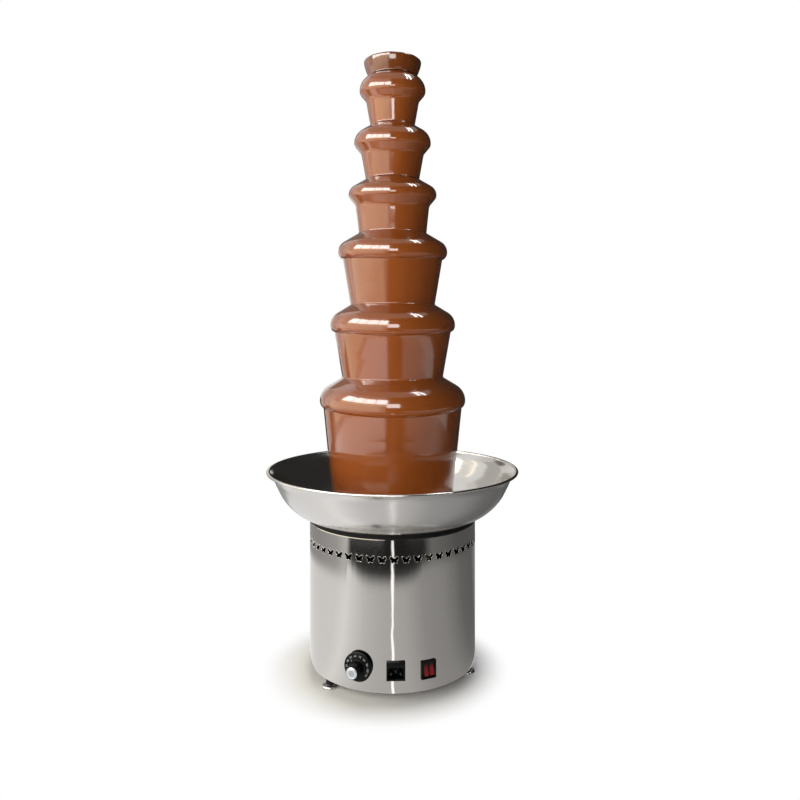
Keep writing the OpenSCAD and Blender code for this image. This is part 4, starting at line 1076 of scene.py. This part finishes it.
# %% Painted floor flag
NEAR = [(-178, 0.9), (-110, 0.96), (-72, 1.0), (-57, 1.12), (-45, 0.95), (-29, 0.76), (-14, 0.68),
        (14, 0.6), (36, 0.42), (64, 0.36), (96, 0.2), (126, 0.15), (176, 0.45)]
MIDDLE = [(-178, 0.35), (-112, 0.4), (-75, 0.5), (-60, 0.72), (-54, 0.02), (38, 0.015), (50, 0.2),
          (90, 0.13), (176, 0.1)]
OUTER = [(-178, 0.06), (-118, 0.1), (-108, 1.6), (-14, 1.6), (-8, 0.05), (14, 0.05), (24, 0.5),
         (76, 0.5), (98, 0.05), (176, 0.05)]
FAR = [(-178, 0.06), (-118, 0.1), (-108, 0.6), (-14, 0.6), (-8, 0.05), (10, 0.05), (17, 0.85),
       (90, 0.85), (110, 0.05), (176, 0.05)]
RINGS = (  # where the ring starts to show and is full, in metres, its bow, and its paint
    (0, 0, 0, NEAR), (0.58, 0.7, 0.1, MIDDLE), (1.03, 1.08, 0, OUTER), (1.46, 1.5, 0, FAR))
FLAG_IN, FLAG_OUT, FLAG_Z = 0.15, 2.6, 0.0006  # metres
FLAG_STRENGTH = 2.0
painted("floor_flag", FLAG_STRENGTH, RINGS)
card("flag_floor", -179, 179, (FLAG_IN, FLAG_Z), (FLAG_OUT, FLAG_Z), "floor_flag", 144)
print(f"flag on the floor: {len(RINGS)} rings")

# %% [markdown]
# ## Window panes
# A wall of windows stands on the left. Its panes show as broken white marks along every lip, so
# they are cards too, with gaps for the bars of the windows: a dim row below and a bright row above.
# The panes at the far end are only white, because the bowl shows them large.

# %% Panes
PANES, PANE_LEFT, PANE_STEP, PANE_WIDE = 5, -106, 20, 18.5  # the last three in degrees
PANE_R = 1.38  # metres
glowing_finish("pane_dim", 2.5, (1.0, 0.9, 0.64))
glowing_finish("pane_bright", 11.0, (1.0, 0.98, 0.96))
ROWS = {"low": (0.76, 0.98, "pane_dim"), "high": (1.0, 1.7, "pane_bright")}
for number in range(PANES):
    left = PANE_LEFT + PANE_STEP * number
    for row, (foot, top, finish) in ROWS.items():
        card(f"pane_{row}_{number}", left, left + PANE_WIDE, (PANE_R, foot), (PANE_R, top),
             finish if number else "white_flag", 8)
print(f"panes: {PANES} low, {PANES} high")

# %% [markdown]
# ## Lamps
# The lamps give the light itself: three tall soft windows on the left, a small square panel behind
# the camera and two narrow bars overhead. Each is placed in degrees round the column and in metres
# above the floor, and its strength is given as brightness, so that a lamp can be made wider without
# its reflection getting paler. The bars only show as reflections. Two more lamps only fill in and
# don't show in reflections.

# %% Soft lights
WATTS = 4  # for each square metre of a lamp whose brightness is 1


def lamp(name, around, out, height, wide, tall, shine, aim_height, tone, lean):
    light = bpy.data.lights.new(name, "AREA")
    light.shape, light.size, light.size_y = "RECTANGLE", wide, tall
    light.energy, light.color = WATTS * wide * tall * shine, tone
    thing = bpy.data.objects.new(name, light)
    a = math.radians(around) + ROUND_BY
    thing.location = (out * math.sin(a), -out * math.cos(a), height)
    toward = Vector((0, 0, aim_height)) - thing.location
    thing.rotation_mode = "QUATERNION"
    thing.rotation_quaternion = toward.to_track_quat("-Z", "Y")
    thing.rotation_quaternion @= Matrix.Rotation(math.radians(lean), 3, "Z").to_quaternion()
    thing.visible_camera = False
    bpy.context.scene.collection.objects.link(thing)
    return thing


WARM, WHITE = (1.0, 0.88, 0.54), (1, 1, 1)
BAR_LEAN = -45  # degrees
LAMPS = (  # lamp, degrees round, metres out and up, width, height, brightness, aimed at, tone
    ("window_0", -33, 1.45, 0.72, 0.8, 1.35, 0.68, 0.72, WARM),
    ("window_1", -63.5, 1.45, 0.72, 0.8, 1.35, 0.76, 0.72, WARM),
    ("window_2", -94, 1.45, 0.72, 0.8, 1.35, 0.68, 0.72, WARM),
    ("panel", 0.8, 1.4, 0.84, 0.46, 0.44, 5.6, 0.8, WHITE),
    ("bar_0", 80.4, 0.77, 2.2, 0.09, 0.8, 12.0, 0.6, WHITE),
    ("bar_1", 89.6, 0.91, 2.2, 0.09, 0.8, 12.0, 0.6, WHITE),
    ("fill_left", -46, 1.9, 0.9, 2.2, 1.6, 1.75, 0.6, WHITE),
    ("back_fill", 180, 2.2, 1.3, 1.6, 1.4, 2.2, 0.5, WHITE),
)
for row in LAMPS:
    is_bar, is_fill = row[0].startswith("bar"), "fill" in row[0]
    thing = lamp(*row, lean=BAR_LEAN if is_bar else 0.0)
    thing.visible_diffuse, thing.visible_glossy = not is_bar, not is_fill
print("lamps:", ", ".join(row[0] for row in LAMPS))

# %% [markdown]
# ## The size of the dressed fountain
# The dressed fountain must not have outgrown its solids, so the box round every shown piece is
# measured.

# %% Size and finish
low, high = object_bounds()
